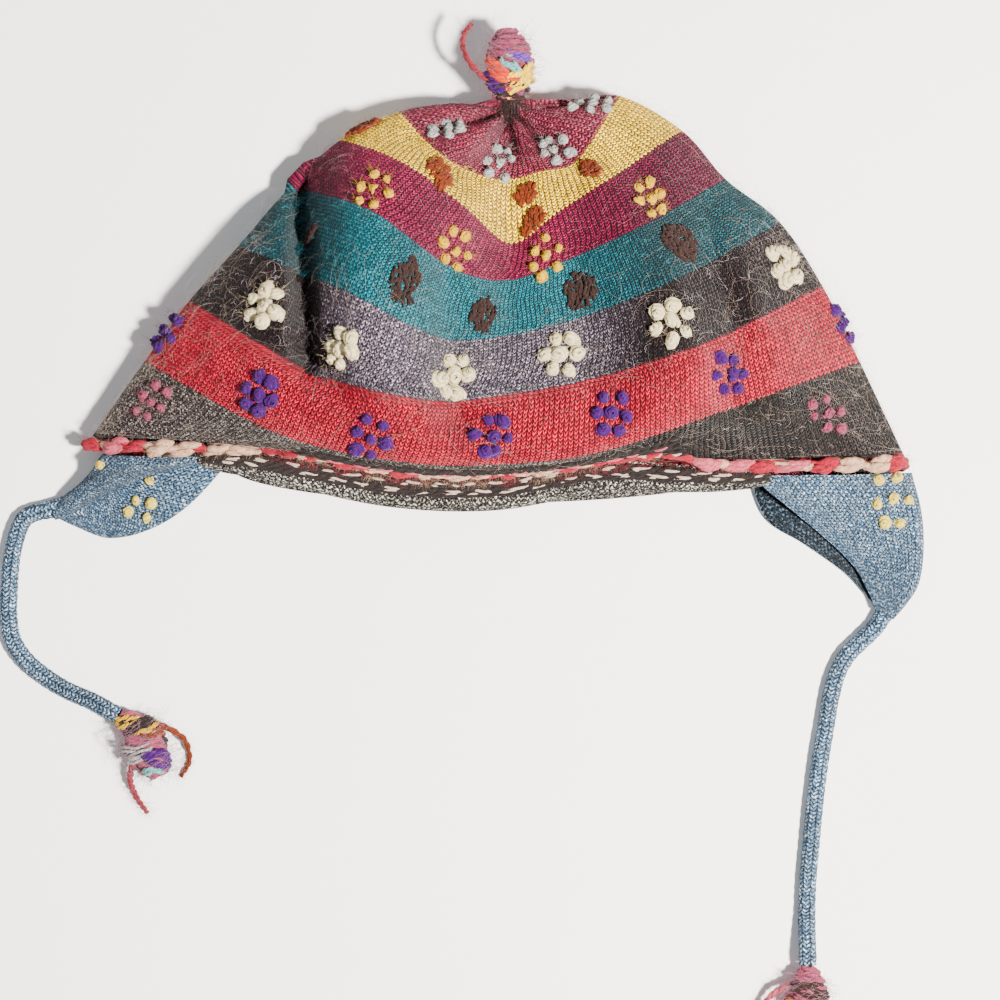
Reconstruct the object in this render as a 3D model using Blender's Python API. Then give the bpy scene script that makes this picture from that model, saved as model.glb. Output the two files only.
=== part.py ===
"""A knitted chullo hat that lies on its back on a table, as closed solids, one for each piece.

Metres, +Z up from the table, +Y from the open rim towards the top of the crown. The front wall lies uppermost,
the back wall lies flat on the table, and the origin is on the table under the middle of the back wall.
Left is -X and right is +X, as the hat is seen from above with its rim towards the viewer.
"""

import math
from collections import namedtuple
from functools import lru_cache

import bmesh
import bpy
from mathutils import Vector

# Sizes of the hat as it lies
RIM_WIDTH = 0.277
CROWN_DEPTH = 0.1255
PUFF_HEIGHT = 0.061
ORIGIN_SHARE = 0.53  # the origin lies this share of the depth below the top fold

# Fabric and yarn
WALL = 0.0026
CLEARANCE = 0.0003
PLEAT_DEPTH = 0.0022
PLEAT_COUNT = 9
PLEAT_FULL_SHARE = 0.06  # the pleats are full at this share of the knitted length from the top
PLEAT_FADE_START_SHARE = 0.12  # from here they fade out
PLEAT_FADE_SHARE = 0.16
GATHER_ROUGHNESS = 0.0011  # how far the gathered top is from flat

# The edging, a bead of thick yarn that swells into scallops
BEAD_RADIUS = 0.0022
SCALLOP_RADIUS = 0.0029
SCALLOP_COUNT = 32
RIM_STEP_RADIANS = 0.001  # the small turn, in radians, over which the rim's direction is taken

# The hem below the edging, between the ear flaps
HEM_WIDTH = 0.0105
HEM_END_SHARE = 0.45  # how wide its ends are beside its middle
HEM_FLARE = 0.40  # how far it drops for each unit that it stands out, at the front
SIDE_FAN = 0.45  # how far it spreads sideways for each unit, at the side folds
HEM_FRONT_DEGREES = (54.0, 130.0)  # degrees round the rim
HEM_BACK_DEGREES = (230.0, 306.0)
SEAM_TUCK = 0.18  # a flap starts this share of a wall past the edging's clearance

# The ear flaps and the ties that leave them
FLAP_LENGTH = 0.056
FLAP_ROLL = 0.0055
FOLD_START_SHARE = 0.36  # share across a flap, from its front edge, where it bends down to the back half
FOLD_SHARE = 0.26
ROLL_SHARE = 0.14  # the share across a flap over which its front edge curls in
ROLL_ROOM_COUNT = 1.2  # walls of height that the curl leaves under it
SETTLE_SHARE = 0.35  # the share along a flap over which it comes down from the rim to the table
TIP_HALF_WIDTH = 0.0036
TIE_DIAMETER = 0.0060

# The yarn tassels
TASSEL_LENGTH = 0.026
TASSEL_RADIUS = 0.0088
TASSEL_NECK_RADIUS = 0.0024
TASSEL_SAG = 0.76  # how high it is beside its width, as it lies
TASSEL_REST = TASSEL_RADIUS * TASSEL_SAG + CLEARANCE  # how high a tassel's middle lies over the table
TASSEL_AXIS_STEPS = 16
TASSEL_BEND_SHARE = 0.5  # it bends over within this share of its length
TASSEL_LOCKS = 6
LOCK_POINTS = 8
LOCK_START_SHARE = 0.14  # shares of the tassel's length
LOCK_SPAN_SHARE = 0.84
LOCK_TWIST = 1.9  # radians that a lock winds round over the tassel's length
BELLY_START_SHARE = 0.05  # the part of a half wave that gives the locks their belly
BELLY_SPAN_SHARE = 0.85
LOCK_LEVER_SHARE = 0.56  # shares of the tassel's radius
LOCK_RADIUS_SHARE = 0.44
LOCK_THIN_SHARE = 0.40  # how thick a lock is where it has no belly
TAIL_DIAMETER = 0.0026
TIE_RISE_LENGTH = 0.020  # the stretch over which a tie rises to the middle of its tassel

# How finely the curved walls are cut into facets
CROWN_COLUMNS = 64
CROWN_ROWS = 22
EDGING_SIDES = 6
EDGING_STEPS_PER_SCALLOP = 4
HEM_COLUMNS = 26
HEM_ROWS = 3
FLAP_COLUMNS = 22
FLAP_ROWS = 9
CORE_SIDES = 8
LOCK_SIDES = 6
TIE_STEP_COUNT = 1.1  # tie diameters between two of its points
TIE_BEVEL = 3

# The crown's sections, from the gathered top to the rim. Each is a closed ring: the front wall's curve and the
# back wall's. STATIONS are the places across the front, from the left fold to the right one, where a row
# gives how far the ring has dropped from the top fold and how high the roof stands.
# reach is the share of the knitted length from the top, left and right are shares of half the rim's width,
# drops are shares of the crown's depth, and roofs, side and back_height are shares of the puff's height.
STATIONS = (-1.0, -0.6, -0.25, 0.0, 0.25, 0.6, 1.0)
Section = namedtuple("Section", "name reach left right drops roofs side back_drop back_height")
APEX = Section("apex", 0.0, 0.03, 0.03, (0.019,) * 7, (0.35,) * 7, 0.35, 0.019, 0.35)
CROWN_SECTIONS = (
    APEX,
    Section("gather", 0.05, -0.025, 0.083, (0.012, 0.057, 0.071, 0.073, 0.071, 0.057, 0.011),
            (0.39, 0.41, 0.39, 0.36, 0.39, 0.41, 0.39), 0.34, -0.003, 0.23),
    Section("top_fold", 0.12, -0.118, 0.172, (-0.003, 0.111, 0.144, 0.149, 0.141, 0.106, -0.005),
            (0.46, 0.49, 0.49, 0.41, 0.47, 0.49, 0.46), 0.28, -0.014, 0.08),
    Section("rose_edge", 0.196, -0.240, 0.294, (0.024, 0.160, 0.209, 0.214, 0.201, 0.171, -0.019),
            (0.56, 0.61, 0.57, 0.48, 0.54, 0.61, 0.56), 0.25, 0.122, 0.0),
    Section("yellow_edge", 0.302, -0.385, 0.449, (0.098, 0.190, 0.303, 0.388, 0.314, 0.212, 0.072),
            (0.66, 0.77, 0.67, 0.52, 0.61, 0.74, 0.66), 0.23, 0.271, 0.0),
    Section("wine_edge", 0.434, -0.505, 0.559, (0.216, 0.322, 0.464, 0.490, 0.440, 0.352, 0.204),
            (0.72, 0.90, 0.74, 0.57, 0.67, 0.84, 0.72), 0.21, 0.434, 0.0),
    Section("teal_edge", 0.586, -0.640, 0.694, (0.388, 0.520, 0.646, 0.637, 0.592, 0.494, 0.322),
            (0.79, 1.00, 0.79, 0.62, 0.70, 0.90, 0.77), 0.20, 0.596, 0.0),
    Section("charcoal_edge", 0.718, -0.760, 0.799, (0.535, 0.736, 0.815, 0.800, 0.760, 0.668, 0.496),
            (0.75, 0.98, 0.84, 0.70, 0.75, 0.90, 0.75), 0.20, 0.745, 0.0),
    Section("red_edge", 0.841, -0.865, 0.887, (0.690, 0.900, 0.975, 0.978, 0.950, 0.835, 0.690),
            (0.62, 0.80, 0.82, 0.77, 0.77, 0.77, 0.62), 0.19, 0.875, 0.0),
    Section("rim", 1.0, -1.0, 1.0, (0.900, 0.932, 0.995, 1.000, 0.962, 0.967, 0.949),
            (0.46, 0.54, 0.46, 0.43, 0.44, 0.51, 0.46), 0.17, 0.940, 0.0),
)
ROOF_POWER = 3  # how squarely the front wall's curve stands at the side folds
BACK_POWER = 2.2  # and how squarely the back wall's edge runs there
FLAT_SHARE = 0.78  # the back wall is flat over this share of its half width, then turns up to the side fold

# Dents in the front wall: lines from one point to another, as shares of half the rim's width and of the depth,
# with the depth of the dent as a share of the puff's height and its half width as a share of the rim's width.
Dent = namedtuple("Dent", "name x0 y0 x1 y1 depth half_width")
DENTS = (
    Dent("left_crease", -0.470, 0.20, -0.405, 0.72, 0.22, 0.038),
    Dent("right_hollow", 0.19, 0.40, 0.26, 0.72, 0.07, 0.040),
    Dent("top_dimple", 0.03, 0.03, 0.05, 0.09, 0.10, 0.030),
)

# The ear flaps. A row is a place along the flap, from the edging to the tip. The bulges are how far the front
# edge, the side fold and the back edge stand out from the straight line to the tip, and ridge is the height of
# the front half, all as shares of the flap's length.
FlapRow = namedtuple("FlapRow", "along front_bulge side_bulge back_bulge ridge")
Flap = namedtuple("Flap", "side front_angle back_angle tip_x tip_y tip_turn rows")
RIGHT_FLAP = Flap("right", 52.0, -52.0, -0.100, -0.985, -122.0, (
    FlapRow(0.00, 0.00, 0.00, 0.00, 0.44),
    FlapRow(0.25, 0.09, 0.06, 0.02, 0.33),
    FlapRow(0.50, 0.13, 0.11, 0.02, 0.25),
    FlapRow(0.75, 0.11, 0.11, 0.01, 0.17),
    FlapRow(1.00, 0.00, 0.00, 0.00, 0.085),
))
LEFT_FLAP = Flap("left", 132.0, 228.0, -0.265, -0.450, 190.0, (
    FlapRow(0.00, 0.00, 0.00, 0.00, 0.44),
    FlapRow(0.25, -0.05, -0.02, 0.16, 0.34),
    FlapRow(0.50, -0.06, -0.03, 0.24, 0.27),
    FlapRow(0.75, -0.03, 0.02, 0.24, 0.18),
    FlapRow(1.00, 0.00, 0.00, 0.00, 0.085),
))

# The ties' routes over the table, in metres from the flap's tip to the tassel.
LEFT_TIE_ROUTE = (
    (-0.0045, -0.0006), (-0.0096, -0.0030), (-0.0124, -0.0088), (-0.0142, -0.0170), (-0.0150, -0.0270),
    (-0.0152, -0.0370), (-0.0138, -0.0450), (-0.0092, -0.0520), (-0.0020, -0.0580), (0.0064, -0.0630),
    (0.0150, -0.0664), (0.0232, -0.0706),
)
RIGHT_TIE_ROUTE = (
    (-0.0026, -0.0042), (-0.0076, -0.0092), (-0.0126, -0.0142), (-0.0160, -0.0205), (-0.0182, -0.0285),
    (-0.0198, -0.0380), (-0.0218, -0.0500), (-0.0236, -0.0640), (-0.0250, -0.0790), (-0.0262, -0.0930),
    (-0.0266, -0.1070), (-0.0266, -0.1200),
)

# The tassels' cores: a place along the tassel and the core's radius as a share of the tassel's.
CoreRow = namedtuple("CoreRow", "along radius")
TASSEL_CORE = (
    CoreRow(0.0, TASSEL_NECK_RADIUS / TASSEL_RADIUS), CoreRow(0.1, 0.42), CoreRow(0.3, 0.70),
    CoreRow(0.6, 0.78),
    CoreRow(0.85, 0.60), CoreRow(0.97, 0.25),
)

# The way that each tassel points, and its loose tails' places from its seat, as shares of the tassel's length.
Tassel = namedtuple("Tassel", "name direction tails")
CROWN_TASSEL = Tassel("crown_tassel", (-0.05, 1.0, 0.0), (
    ((0.0, 0.154, 0.115), (-0.231, 0.269, 0.192), (-0.481, 0.481, 0.231), (-0.615, 0.750, 0.154),
     (-0.596, 0.942, 0.115), (-0.500, 1.058, 0.154)),
))
LEFT_TASSEL = Tassel("tassel_left", (0.42, -0.91, 0.0), (
    ((0.154, -0.154, 0.0), (0.500, -0.115, 0.038), (0.827, -0.288, -0.077), (0.904, -0.596, -0.231),
     (0.788, -0.827, -0.231)),
    ((0.231, -0.462, 0.0), (0.135, -0.808, -0.077), (0.192, -1.077, -0.231), (0.346, -1.308, -0.231)),
))
RIGHT_TASSEL = Tassel("tassel_right", (-0.10, -0.99, 0.0), (
    ((-0.115, -0.231, 0.0), (-0.423, -0.346, 0.0), (-0.635, -0.673, -0.154), (-0.577, -1.0, -0.231)),
))

Finish = namedtuple("Finish", "name colour roughness")
CROWN_WOOL = Finish("crown_wool", (0.48, 0.10, 0.13), 0.90)
EDGING_YARN = Finish("edging_yarn", (0.62, 0.22, 0.20), 0.90)
MARLED_WOOL = Finish("marled_wool", (0.17, 0.15, 0.14), 0.92)
DENIM_WOOL = Finish("denim_wool", (0.11, 0.17, 0.25), 0.90)
TASSEL_YARN = Finish("tassel_yarn", (0.50, 0.28, 0.08), 0.88)


def clamp_to_table(point):
    """Soft fabric flattens where it rests."""
    return Vector((point.x, point.y, max(point.z, 0.0)))


def ease(t):
    t = min(max(t, 0.0), 1.0)
    return t * t * (3 - 2 * t)


def smooth_value(knots, values, at):
    """A smooth curve through the values, read at one place. The values may be numbers or vectors."""
    last = len(knots) - 1
    i = max(k for k in range(last) if knots[k] <= at or k == 0)

    def slope(k):
        low, high = max(k - 1, 0), min(k + 1, last)
        return (values[high] - values[low]) / (knots[high] - knots[low])

    step = knots[i + 1] - knots[i]
    t = min(max((at - knots[i]) / step, 0.0), 1.0)
    return (
        values[i] * (2 * t**3 - 3 * t**2 + 1)
        + slope(i) * (step * (t**3 - 2 * t**2 + t))
        + values[i + 1] * (3 * t**2 - 2 * t**3)
        + slope(i + 1) * (step * (t**3 - t**2))
    )


def section_point(section, angle):
    """A point on one ring. Angle 0 is the right fold, 90 degrees the front's middle, 270 the back's."""
    share = math.cos(angle)
    across = (share + 1) / 2
    x = (section.left + (section.right - section.left) * across) * RIM_WIDTH / 2
    if math.sin(angle) >= 0:
        drop = smooth_value(STATIONS, section.drops, share)
        roof = smooth_value(STATIONS, section.roofs, share)
        height = section.side + (roof - section.side) * math.sqrt(1 - abs(share) ** ROOF_POWER)
    else:
        side_drop = section.drops[0] + (section.drops[-1] - section.drops[0]) * across
        drop = side_drop + (section.back_drop - side_drop) * (1 - abs(share) ** BACK_POWER)
        turn = max(0.0, (abs(share) - FLAT_SHARE) / (1 - FLAT_SHARE))
        turn_up = 1 - math.sqrt(max(0.0, 1 - turn**2))
        height = section.back_height + (section.side - section.back_height) * turn_up
    return Vector((x, (ORIGIN_SHARE - drop) * CROWN_DEPTH, height * PUFF_HEIGHT))


def dent_depth(x, y):
    """How far the dents push the front wall down at a place on the hat."""
    total = 0.0
    for dent in DENTS:
        start = Vector((dent.x0 * RIM_WIDTH / 2, (ORIGIN_SHARE - dent.y0) * CROWN_DEPTH))
        end = Vector((dent.x1 * RIM_WIDTH / 2, (ORIGIN_SHARE - dent.y1) * CROWN_DEPTH))
        along = end - start
        t = min(max((Vector((x, y)) - start).dot(along) / along.length_squared, 0.0), 1.0)
        away = (Vector((x, y)) - start - along * t).length
        total += dent.depth * PUFF_HEIGHT * math.exp(-((away / (dent.half_width * RIM_WIDTH)) ** 2))
    return total


def pleat_lift(angle, reach):
    """The small radial pleats where the top is drawn together."""
    rise = ease(reach / PLEAT_FULL_SHARE)
    fall = ease((reach - PLEAT_FADE_START_SHARE) / PLEAT_FADE_SHARE)
    return PLEAT_DEPTH * rise * (1 - fall) * math.cos(PLEAT_COUNT * angle)


def crown_point(angle, reach):
    """A point on the crown's outer face, at a share of the knitted length from the top."""
    knots = [section.reach for section in CROWN_SECTIONS]
    points = [section_point(section, angle) for section in CROWN_SECTIONS]
    point = smooth_value(knots, points, reach)
    facing_up = math.sqrt(max(0.0, math.sin(angle)))
    point.z += (pleat_lift(angle, reach) - dent_depth(point.x, point.y)) * facing_up
    return clamp_to_table(point)


def grid_normals(grid, closed):
    """The outward normal at each point of a grid. Its rows run round the hat and its columns to the rim."""
    rows, columns = len(grid), len(grid[0])
    normals = []
    for r in range(rows):
        line = []
        for c in range(columns):
            if closed:
                ahead, behind = grid[r][(c + 1) % columns], grid[r][c - 1]
            else:
                ahead, behind = grid[r][min(c + 1, columns - 1)], grid[r][max(c - 1, 0)]
            down, up = grid[min(r + 1, rows - 1)][c], grid[max(r - 1, 0)][c]
            line.append((ahead - behind).cross(down - up).normalized())
        normals.append(line)
    return normals


def new_object(name, finish, data):
    """The named object for a mesh or curve, with its own material."""
    material = bpy.data.materials.new(name + "_" + finish.name)
    material.use_nodes = True
    shader = material.node_tree.nodes["Principled BSDF"]
    shader.inputs["Base Color"].default_value = (*finish.colour, 1.0)
    shader.inputs["Roughness"].default_value = finish.roughness
    shader.inputs["Metallic"].default_value = 0.0
    data.materials.append(material)
    made = bpy.data.objects.new(name, data)
    bpy.context.scene.collection.objects.link(made)
    return made


def mesh_from(name, points, faces):
    """A closed mesh whose faces point outwards."""
    mesh = bpy.data.meshes.new(name)
    mesh.from_pydata(points, [], faces)
    shape = bmesh.new()
    shape.from_mesh(mesh)
    bmesh.ops.recalc_face_normals(shape, faces=shape.faces)
    bmesh.ops.triangulate(shape, faces=shape.faces)
    if shape.calc_volume(signed=True) < 0:
        bmesh.ops.reverse_faces(shape, faces=shape.faces)
    shape.to_mesh(mesh)
    shape.free()
    mesh.shade_smooth()
    return mesh


def quads(first, second, closed):
    """Faces between two lines of point numbers."""
    count = len(first)
    steps = range(count if closed else count - 1)
    return [(first[i], first[(i + 1) % count], second[(i + 1) % count], second[i]) for i in steps]


def sheet_mesh(name, middle, thickness):
    """A sheet of fabric of the given thickness about a middle surface, closed round its four edges."""
    normals = grid_normals(middle, closed=False)
    rows, columns = len(middle), len(middle[0])
    points = []
    for face in (0.5, -0.5):
        for r in range(rows):
            points += [
                clamp_to_table(middle[r][c] + normals[r][c] * (face * thickness)) for c in range(columns)
            ]
    outer = [[r * columns + c for c in range(columns)] for r in range(rows)]
    inner = [[n + rows * columns for n in line] for line in outer]
    faces = []
    for r in range(rows - 1):
        faces += quads(outer[r], outer[r + 1], closed=False)
        faces += quads(inner[r + 1], inner[r], closed=False)
    for edge in (0, rows - 1):
        faces += quads(inner[edge], outer[edge], closed=False)
    for edge in (0, columns - 1):
        faces += quads([line[edge] for line in outer], [line[edge] for line in inner], closed=False)
    return mesh_from(name, points, faces)


def tube_mesh(name, path, radii, sides):
    """A round solid along a path, a little flattened by its own weight."""
    points, rings = [], []
    for i, centre in enumerate(path):
        tangent = (path[min(i + 1, len(path) - 1)] - path[max(i - 1, 0)]).normalized()
        side = tangent.cross(Vector((0.0, 0.0, 1.0))).normalized()
        other = side.cross(tangent)
        rings.append(list(range(len(points), len(points) + sides)))
        for k in range(sides):
            turn = 2 * math.pi * k / sides
            points.append(centre + (side * math.cos(turn) + other * (math.sin(turn) * TASSEL_SAG)) * radii[i])
    faces = []
    for first, second in zip(rings, rings[1:]):
        faces += quads(first, second, closed=True)
    faces += [tuple(rings[0]), tuple(rings[-1])]
    return mesh_from(name, points, faces)


@lru_cache(maxsize=None)
def crown_faces():
    """The points of the crown's outer and inner faces, ring by ring."""
    angles = [2 * math.pi * c / CROWN_COLUMNS for c in range(CROWN_COLUMNS)]
    reaches = [(r + 1) / CROWN_ROWS for r in range(CROWN_ROWS)]
    outer = [[crown_point(angle, reach) for angle in angles] for reach in reaches]
    normals = grid_normals(outer, closed=True)
    inner = [
        [outer[r][c] - normals[r][c] * WALL for c in range(CROWN_COLUMNS)] for r in range(CROWN_ROWS)
    ]
    return outer, inner


def make_crown():
    """The one-piece knitted crown: outer and inner faces that meet at the rim's edge and at the top."""
    outer, inner = crown_faces()
    top = crown_point(math.pi / 2, 0.0)
    ring_middle = sum(outer[0], Vector()) / CROWN_COLUMNS
    inward = (sum(inner[0], Vector()) / CROWN_COLUMNS - ring_middle).normalized()
    points = [top] + [p for line in outer for p in line]
    inner_start = len(points)
    points += [top + inward * WALL] + [p for line in inner for p in line]

    faces = []
    for start in (0, inner_start):
        rings = [
            [start + 1 + r * CROWN_COLUMNS + c for c in range(CROWN_COLUMNS)] for r in range(CROWN_ROWS)
        ]
        faces += [(start, rings[0][i], rings[0][i - 1]) for i in range(CROWN_COLUMNS)]
        for first, second in zip(rings, rings[1:]):
            faces += quads(first, second, closed=True)
        if start == 0:
            outer_rim = rings[-1]
        else:
            faces += quads(outer_rim, rings[-1], closed=True)
    return new_object("crown", CROWN_WOOL, mesh_from("crown", points, faces))


@lru_cache(maxsize=None)
def rim_frames():
    """At each column of the crown, the middle of the wall's edge at the rim and the way square out of it."""
    outer, inner = crown_faces()
    middles = [(outer[-1][c] + inner[-1][c]) / 2 for c in range(CROWN_COLUMNS)]
    frames = []
    for c in range(CROWN_COLUMNS):
        along = (middles[(c + 1) % CROWN_COLUMNS] - middles[c - 1]).normalized()
        onward = outer[-1][c] - outer[-2][c]
        frames.append((middles[c], (onward - along * onward.dot(along)).normalized()))
    return frames


def rim_edge(angle):
    """The middle of the rim's edge at any angle, and the direction square out of it."""
    column = (angle / (2 * math.pi) * CROWN_COLUMNS) % CROWN_COLUMNS
    first = int(column)
    middle, onward = rim_frames()[first]
    next_middle, next_onward = rim_frames()[(first + 1) % CROWN_COLUMNS]
    share = column - first
    return middle.lerp(next_middle, share), onward.lerp(next_onward, share).normalized()


def edging_centre(angle):
    """The edging's centre line, just past the edge of the crown's wall."""
    middle, onward = rim_edge(angle)
    return middle + onward * (SCALLOP_RADIUS + CLEARANCE)


def below_edging(angle, distance):
    """A point past the edging, where the hem and the flaps go on. They flare out at the front."""
    onward = Vector((
        SIDE_FAN * math.cos(angle),
        -1.0,
        -HEM_FLARE * max(0.0, math.sin(angle)),
    )).normalized()
    point = edging_centre(angle) + onward * (SCALLOP_RADIUS + CLEARANCE + distance)
    return Vector((point.x, point.y, max(point.z, WALL / 2)))


def make_edging():
    """A closed loop of thick yarn round the rim, swelling and thinning into scallops."""
    steps = SCALLOP_COUNT * EDGING_STEPS_PER_SCALLOP
    points = []
    for i in range(steps):
        angle = 2 * math.pi * i / steps
        swell = 0.5 - 0.5 * math.cos(2 * math.pi * i / EDGING_STEPS_PER_SCALLOP)
        radius = BEAD_RADIUS + (SCALLOP_RADIUS - BEAD_RADIUS) * swell
        centre = edging_centre(angle)
        _, onward = rim_edge(angle)
        along = edging_centre(angle + RIM_STEP_RADIANS) - edging_centre(angle - RIM_STEP_RADIANS)
        side = along.cross(onward).normalized()
        ahead = side.cross(along).normalized()
        for k in range(EDGING_SIDES):
            turn = 2 * math.pi * (k + 0.5) / EDGING_SIDES
            offset = (ahead * math.cos(turn) + side * math.sin(turn)) * radius
            points.append(clamp_to_table(centre + offset))
    rings = [[i * EDGING_SIDES + k for k in range(EDGING_SIDES)] for i in range(steps)]
    faces = []
    for i in range(steps):
        faces += quads(rings[i - 1], rings[i], closed=True)
    return new_object("edging", EDGING_YARN, mesh_from("edging", points, faces))


def make_hem(name, start_angle, end_angle):
    """The strip of marled knit that shows below the edging between the ear flaps."""
    middle = []
    for r in range(HEM_ROWS + 1):
        line = []
        for c in range(HEM_COLUMNS + 1):
            angle = math.radians(start_angle + (end_angle - start_angle) * c / HEM_COLUMNS)
            taper = HEM_END_SHARE + (1 - HEM_END_SHARE) * math.sin(math.pi * c / HEM_COLUMNS)
            line.append(below_edging(angle, HEM_WIDTH * taper * r / HEM_ROWS))
        middle.append(line)
    return new_object(name, MARLED_WOOL, sheet_mesh(name, middle, WALL))


def outward_sign(flap):
    """Which way is outwards when a line that runs from the rim to a flap's tip is turned a quarter round."""
    return 1 if flap.side == "right" else -1


def flap_heading(flap):
    """The way that the flap's tip points on the table."""
    turn = math.radians(flap.tip_turn)
    return Vector((math.cos(turn), math.sin(turn), 0.0))


def flap_tip(flap):
    """Where the flap ends and its tie begins, on the table."""
    corner = crown_point(0.0 if flap.side == "right" else math.pi, 1.0)
    return Vector((
        corner.x + flap.tip_x * FLAP_LENGTH,
        corner.y + flap.tip_y * FLAP_LENGTH,
        TIE_DIAMETER / 2,
    ))


def flap_point(flap, across, along):
    """A point on the flap's middle surface. across runs from the front edge, over the side fold at 0.5, to the
    back edge, and along runs from the edging to the tip."""
    angle = math.radians(flap.front_angle + (flap.back_angle - flap.front_angle) * across)
    start = below_edging(angle, WALL * SEAM_TUCK)
    tip = flap_tip(flap)
    heading = flap_heading(flap)
    outward = Vector((-heading.y, heading.x, 0.0)) * outward_sign(flap)
    fold = math.cos(2 * math.pi * across)
    end = tip - heading * CLEARANCE - outward * (fold * TIP_HALF_WIDTH)

    knots = [row.along for row in flap.rows]
    bulges = (
        smooth_value(knots, [row.front_bulge for row in flap.rows], along),
        smooth_value(knots, [row.side_bulge for row in flap.rows], along),
        smooth_value(knots, [row.back_bulge for row in flap.rows], along),
    )
    line = end - start
    square = Vector((-line.y, line.x, 0.0)).normalized() * outward_sign(flap)
    sideways = smooth_value((0.0, 0.5, 1.0), (-bulges[0], bulges[1], -bulges[2]), across)
    flat = start.lerp(end, along) + square * (sideways * FLAP_LENGTH)

    rest = WALL / 2
    ridge = smooth_value(knots, [row.ridge for row in flap.rows], along) * FLAP_LENGTH
    top = 1 - ease((across - FOLD_START_SHARE) / FOLD_SHARE)
    roll = max(0.0, 1 - across / ROLL_SHARE) ** 2 * min(FLAP_ROLL, ridge - rest - ROLL_ROOM_COUNT * WALL)
    height = rest + (ridge - rest) * top - roll
    settle = ease(along / SETTLE_SHARE)
    return Vector((flat.x, flat.y, max(rest, start.z + (height - start.z) * settle)))


def make_flap(flap):
    """An ear flap: a leaf of knit folded at the hat's side, its front half over its back half."""
    middle = []
    for r in range(FLAP_ROWS + 1):
        along = r / FLAP_ROWS
        middle.append([flap_point(flap, c / FLAP_COLUMNS, along) for c in range(FLAP_COLUMNS + 1)])
    name = "ear_flap_" + flap.side
    return new_object(name, DENIM_WOOL, sheet_mesh(name, middle, WALL))


def tie_points(flap, route):
    """The tie's centre line on the table, from the flap's tip up to the middle of its tassel."""
    tip = flap_tip(flap)
    start = tip + flap_heading(flap) * (WALL / 2 + CLEARANCE)
    knots = [start] + [tip + Vector((x, y, 0.0)) for x, y in route]
    distances = [0.0]
    for first, second in zip(knots, knots[1:]):
        distances.append(distances[-1] + (second - first).length)
    count = round(distances[-1] / (TIE_STEP_COUNT * TIE_DIAMETER))
    rise_start = distances[-1] - TIE_RISE_LENGTH
    points = []
    for i in range(count + 1):
        distance = distances[-1] * i / count
        rise = (TASSEL_REST - TIE_DIAMETER / 2) * ease((distance - rise_start) / TIE_RISE_LENGTH)
        points.append(smooth_value(distances, knots, distance) + Vector((0.0, 0.0, rise)))
    return points


def make_tie(flap, route):
    """A round knitted tie that lies on the table, as a curve with a round bevel."""
    name = "tie_" + flap.side
    curve = bpy.data.curves.new(name, "CURVE")
    curve.dimensions = "3D"
    curve.bevel_depth = TIE_DIAMETER / 2
    curve.bevel_resolution = TIE_BEVEL
    curve.use_fill_caps = True
    spline = curve.splines.new("POLY")
    points = tie_points(flap, route)
    spline.points.add(len(points) - 1)
    for point, place in zip(spline.points, points):
        point.co = (*place, 1.0)
    new_object(name, DENIM_WOOL, curve)
    return points


def tassel_axis(base, leave, direction):
    """The tassel's middle line: it leaves its seat one way and bends over to another."""
    line = [base]
    for step in range(TASSEL_AXIS_STEPS):
        bent = ease((step + 0.5) / TASSEL_AXIS_STEPS / TASSEL_BEND_SHARE)
        line.append(line[-1] + leave.lerp(direction, bent).normalized() * (TASSEL_LENGTH / TASSEL_AXIS_STEPS))

    def axis(share):
        place = share * TASSEL_AXIS_STEPS
        first = int(place)
        return line[first].lerp(line[min(first + 1, TASSEL_AXIS_STEPS)], place - first)

    return axis


def lock_path(axis, direction, turn):
    """One lock of yarn that winds round the tassel's middle from its neck to its rounded end."""
    side = direction.cross(Vector((0.0, 0.0, 1.0))).normalized()
    other = side.cross(direction)
    path, radii = [], []
    for step in range(LOCK_POINTS):
        along = step / (LOCK_POINTS - 1)
        share = LOCK_START_SHARE + LOCK_SPAN_SHARE * along
        angle = turn + LOCK_TWIST * share
        belly = math.sin(math.pi * (BELLY_START_SHARE + BELLY_SPAN_SHARE * along))
        lever = TASSEL_RADIUS * LOCK_LEVER_SHARE * belly
        round_axis = side * math.cos(angle) + other * (math.sin(angle) * TASSEL_SAG)
        path.append(axis(share) + round_axis * lever)
        radii.append(TASSEL_RADIUS * LOCK_RADIUS_SHARE * (LOCK_THIN_SHARE + (1 - LOCK_THIN_SHARE) * belly))
    return path, radii


def make_tassel(plan, base, leave):
    """A yarn tassel: locks wound round a core, with loose tails, united into one body."""
    name, direction = plan.name, Vector(plan.direction).normalized()
    axis = tassel_axis(base, leave, direction)
    core_path = [axis(row.along) for row in TASSEL_CORE]
    core_radii = [TASSEL_RADIUS * row.radius for row in TASSEL_CORE]
    tassel = new_object(name, TASSEL_YARN, tube_mesh(name, core_path, core_radii, CORE_SIDES))
    parts = [lock_path(axis, direction, 2 * math.pi * i / TASSEL_LOCKS) for i in range(TASSEL_LOCKS)]
    for tail in plan.tails:
        places = [Vector(place) * TASSEL_LENGTH for place in tail]
        knots = list(range(len(places)))
        steps = 2 * (len(places) - 1)
        path = [base + smooth_value(knots, places, i / 2) for i in range(steps + 1)]
        path = [Vector((place.x, place.y, max(place.z, TAIL_DIAMETER / 2))) for place in path]
        parts.append((path, [TAIL_DIAMETER / 2 * (1 - 0.5 * i / steps) for i in range(steps + 1)]))
    for i, (path, radii) in enumerate(parts):
        helper = new_object(f"{name}_part_{i}", TASSEL_YARN, tube_mesh(name, path, radii, LOCK_SIDES))
        helper.hide_render = True
        helper.display_type = "WIRE"
        union = tassel.modifiers.new(f"union_{i}", "BOOLEAN")
        union.operation = "UNION"
        union.object = helper
    return tassel


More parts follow.
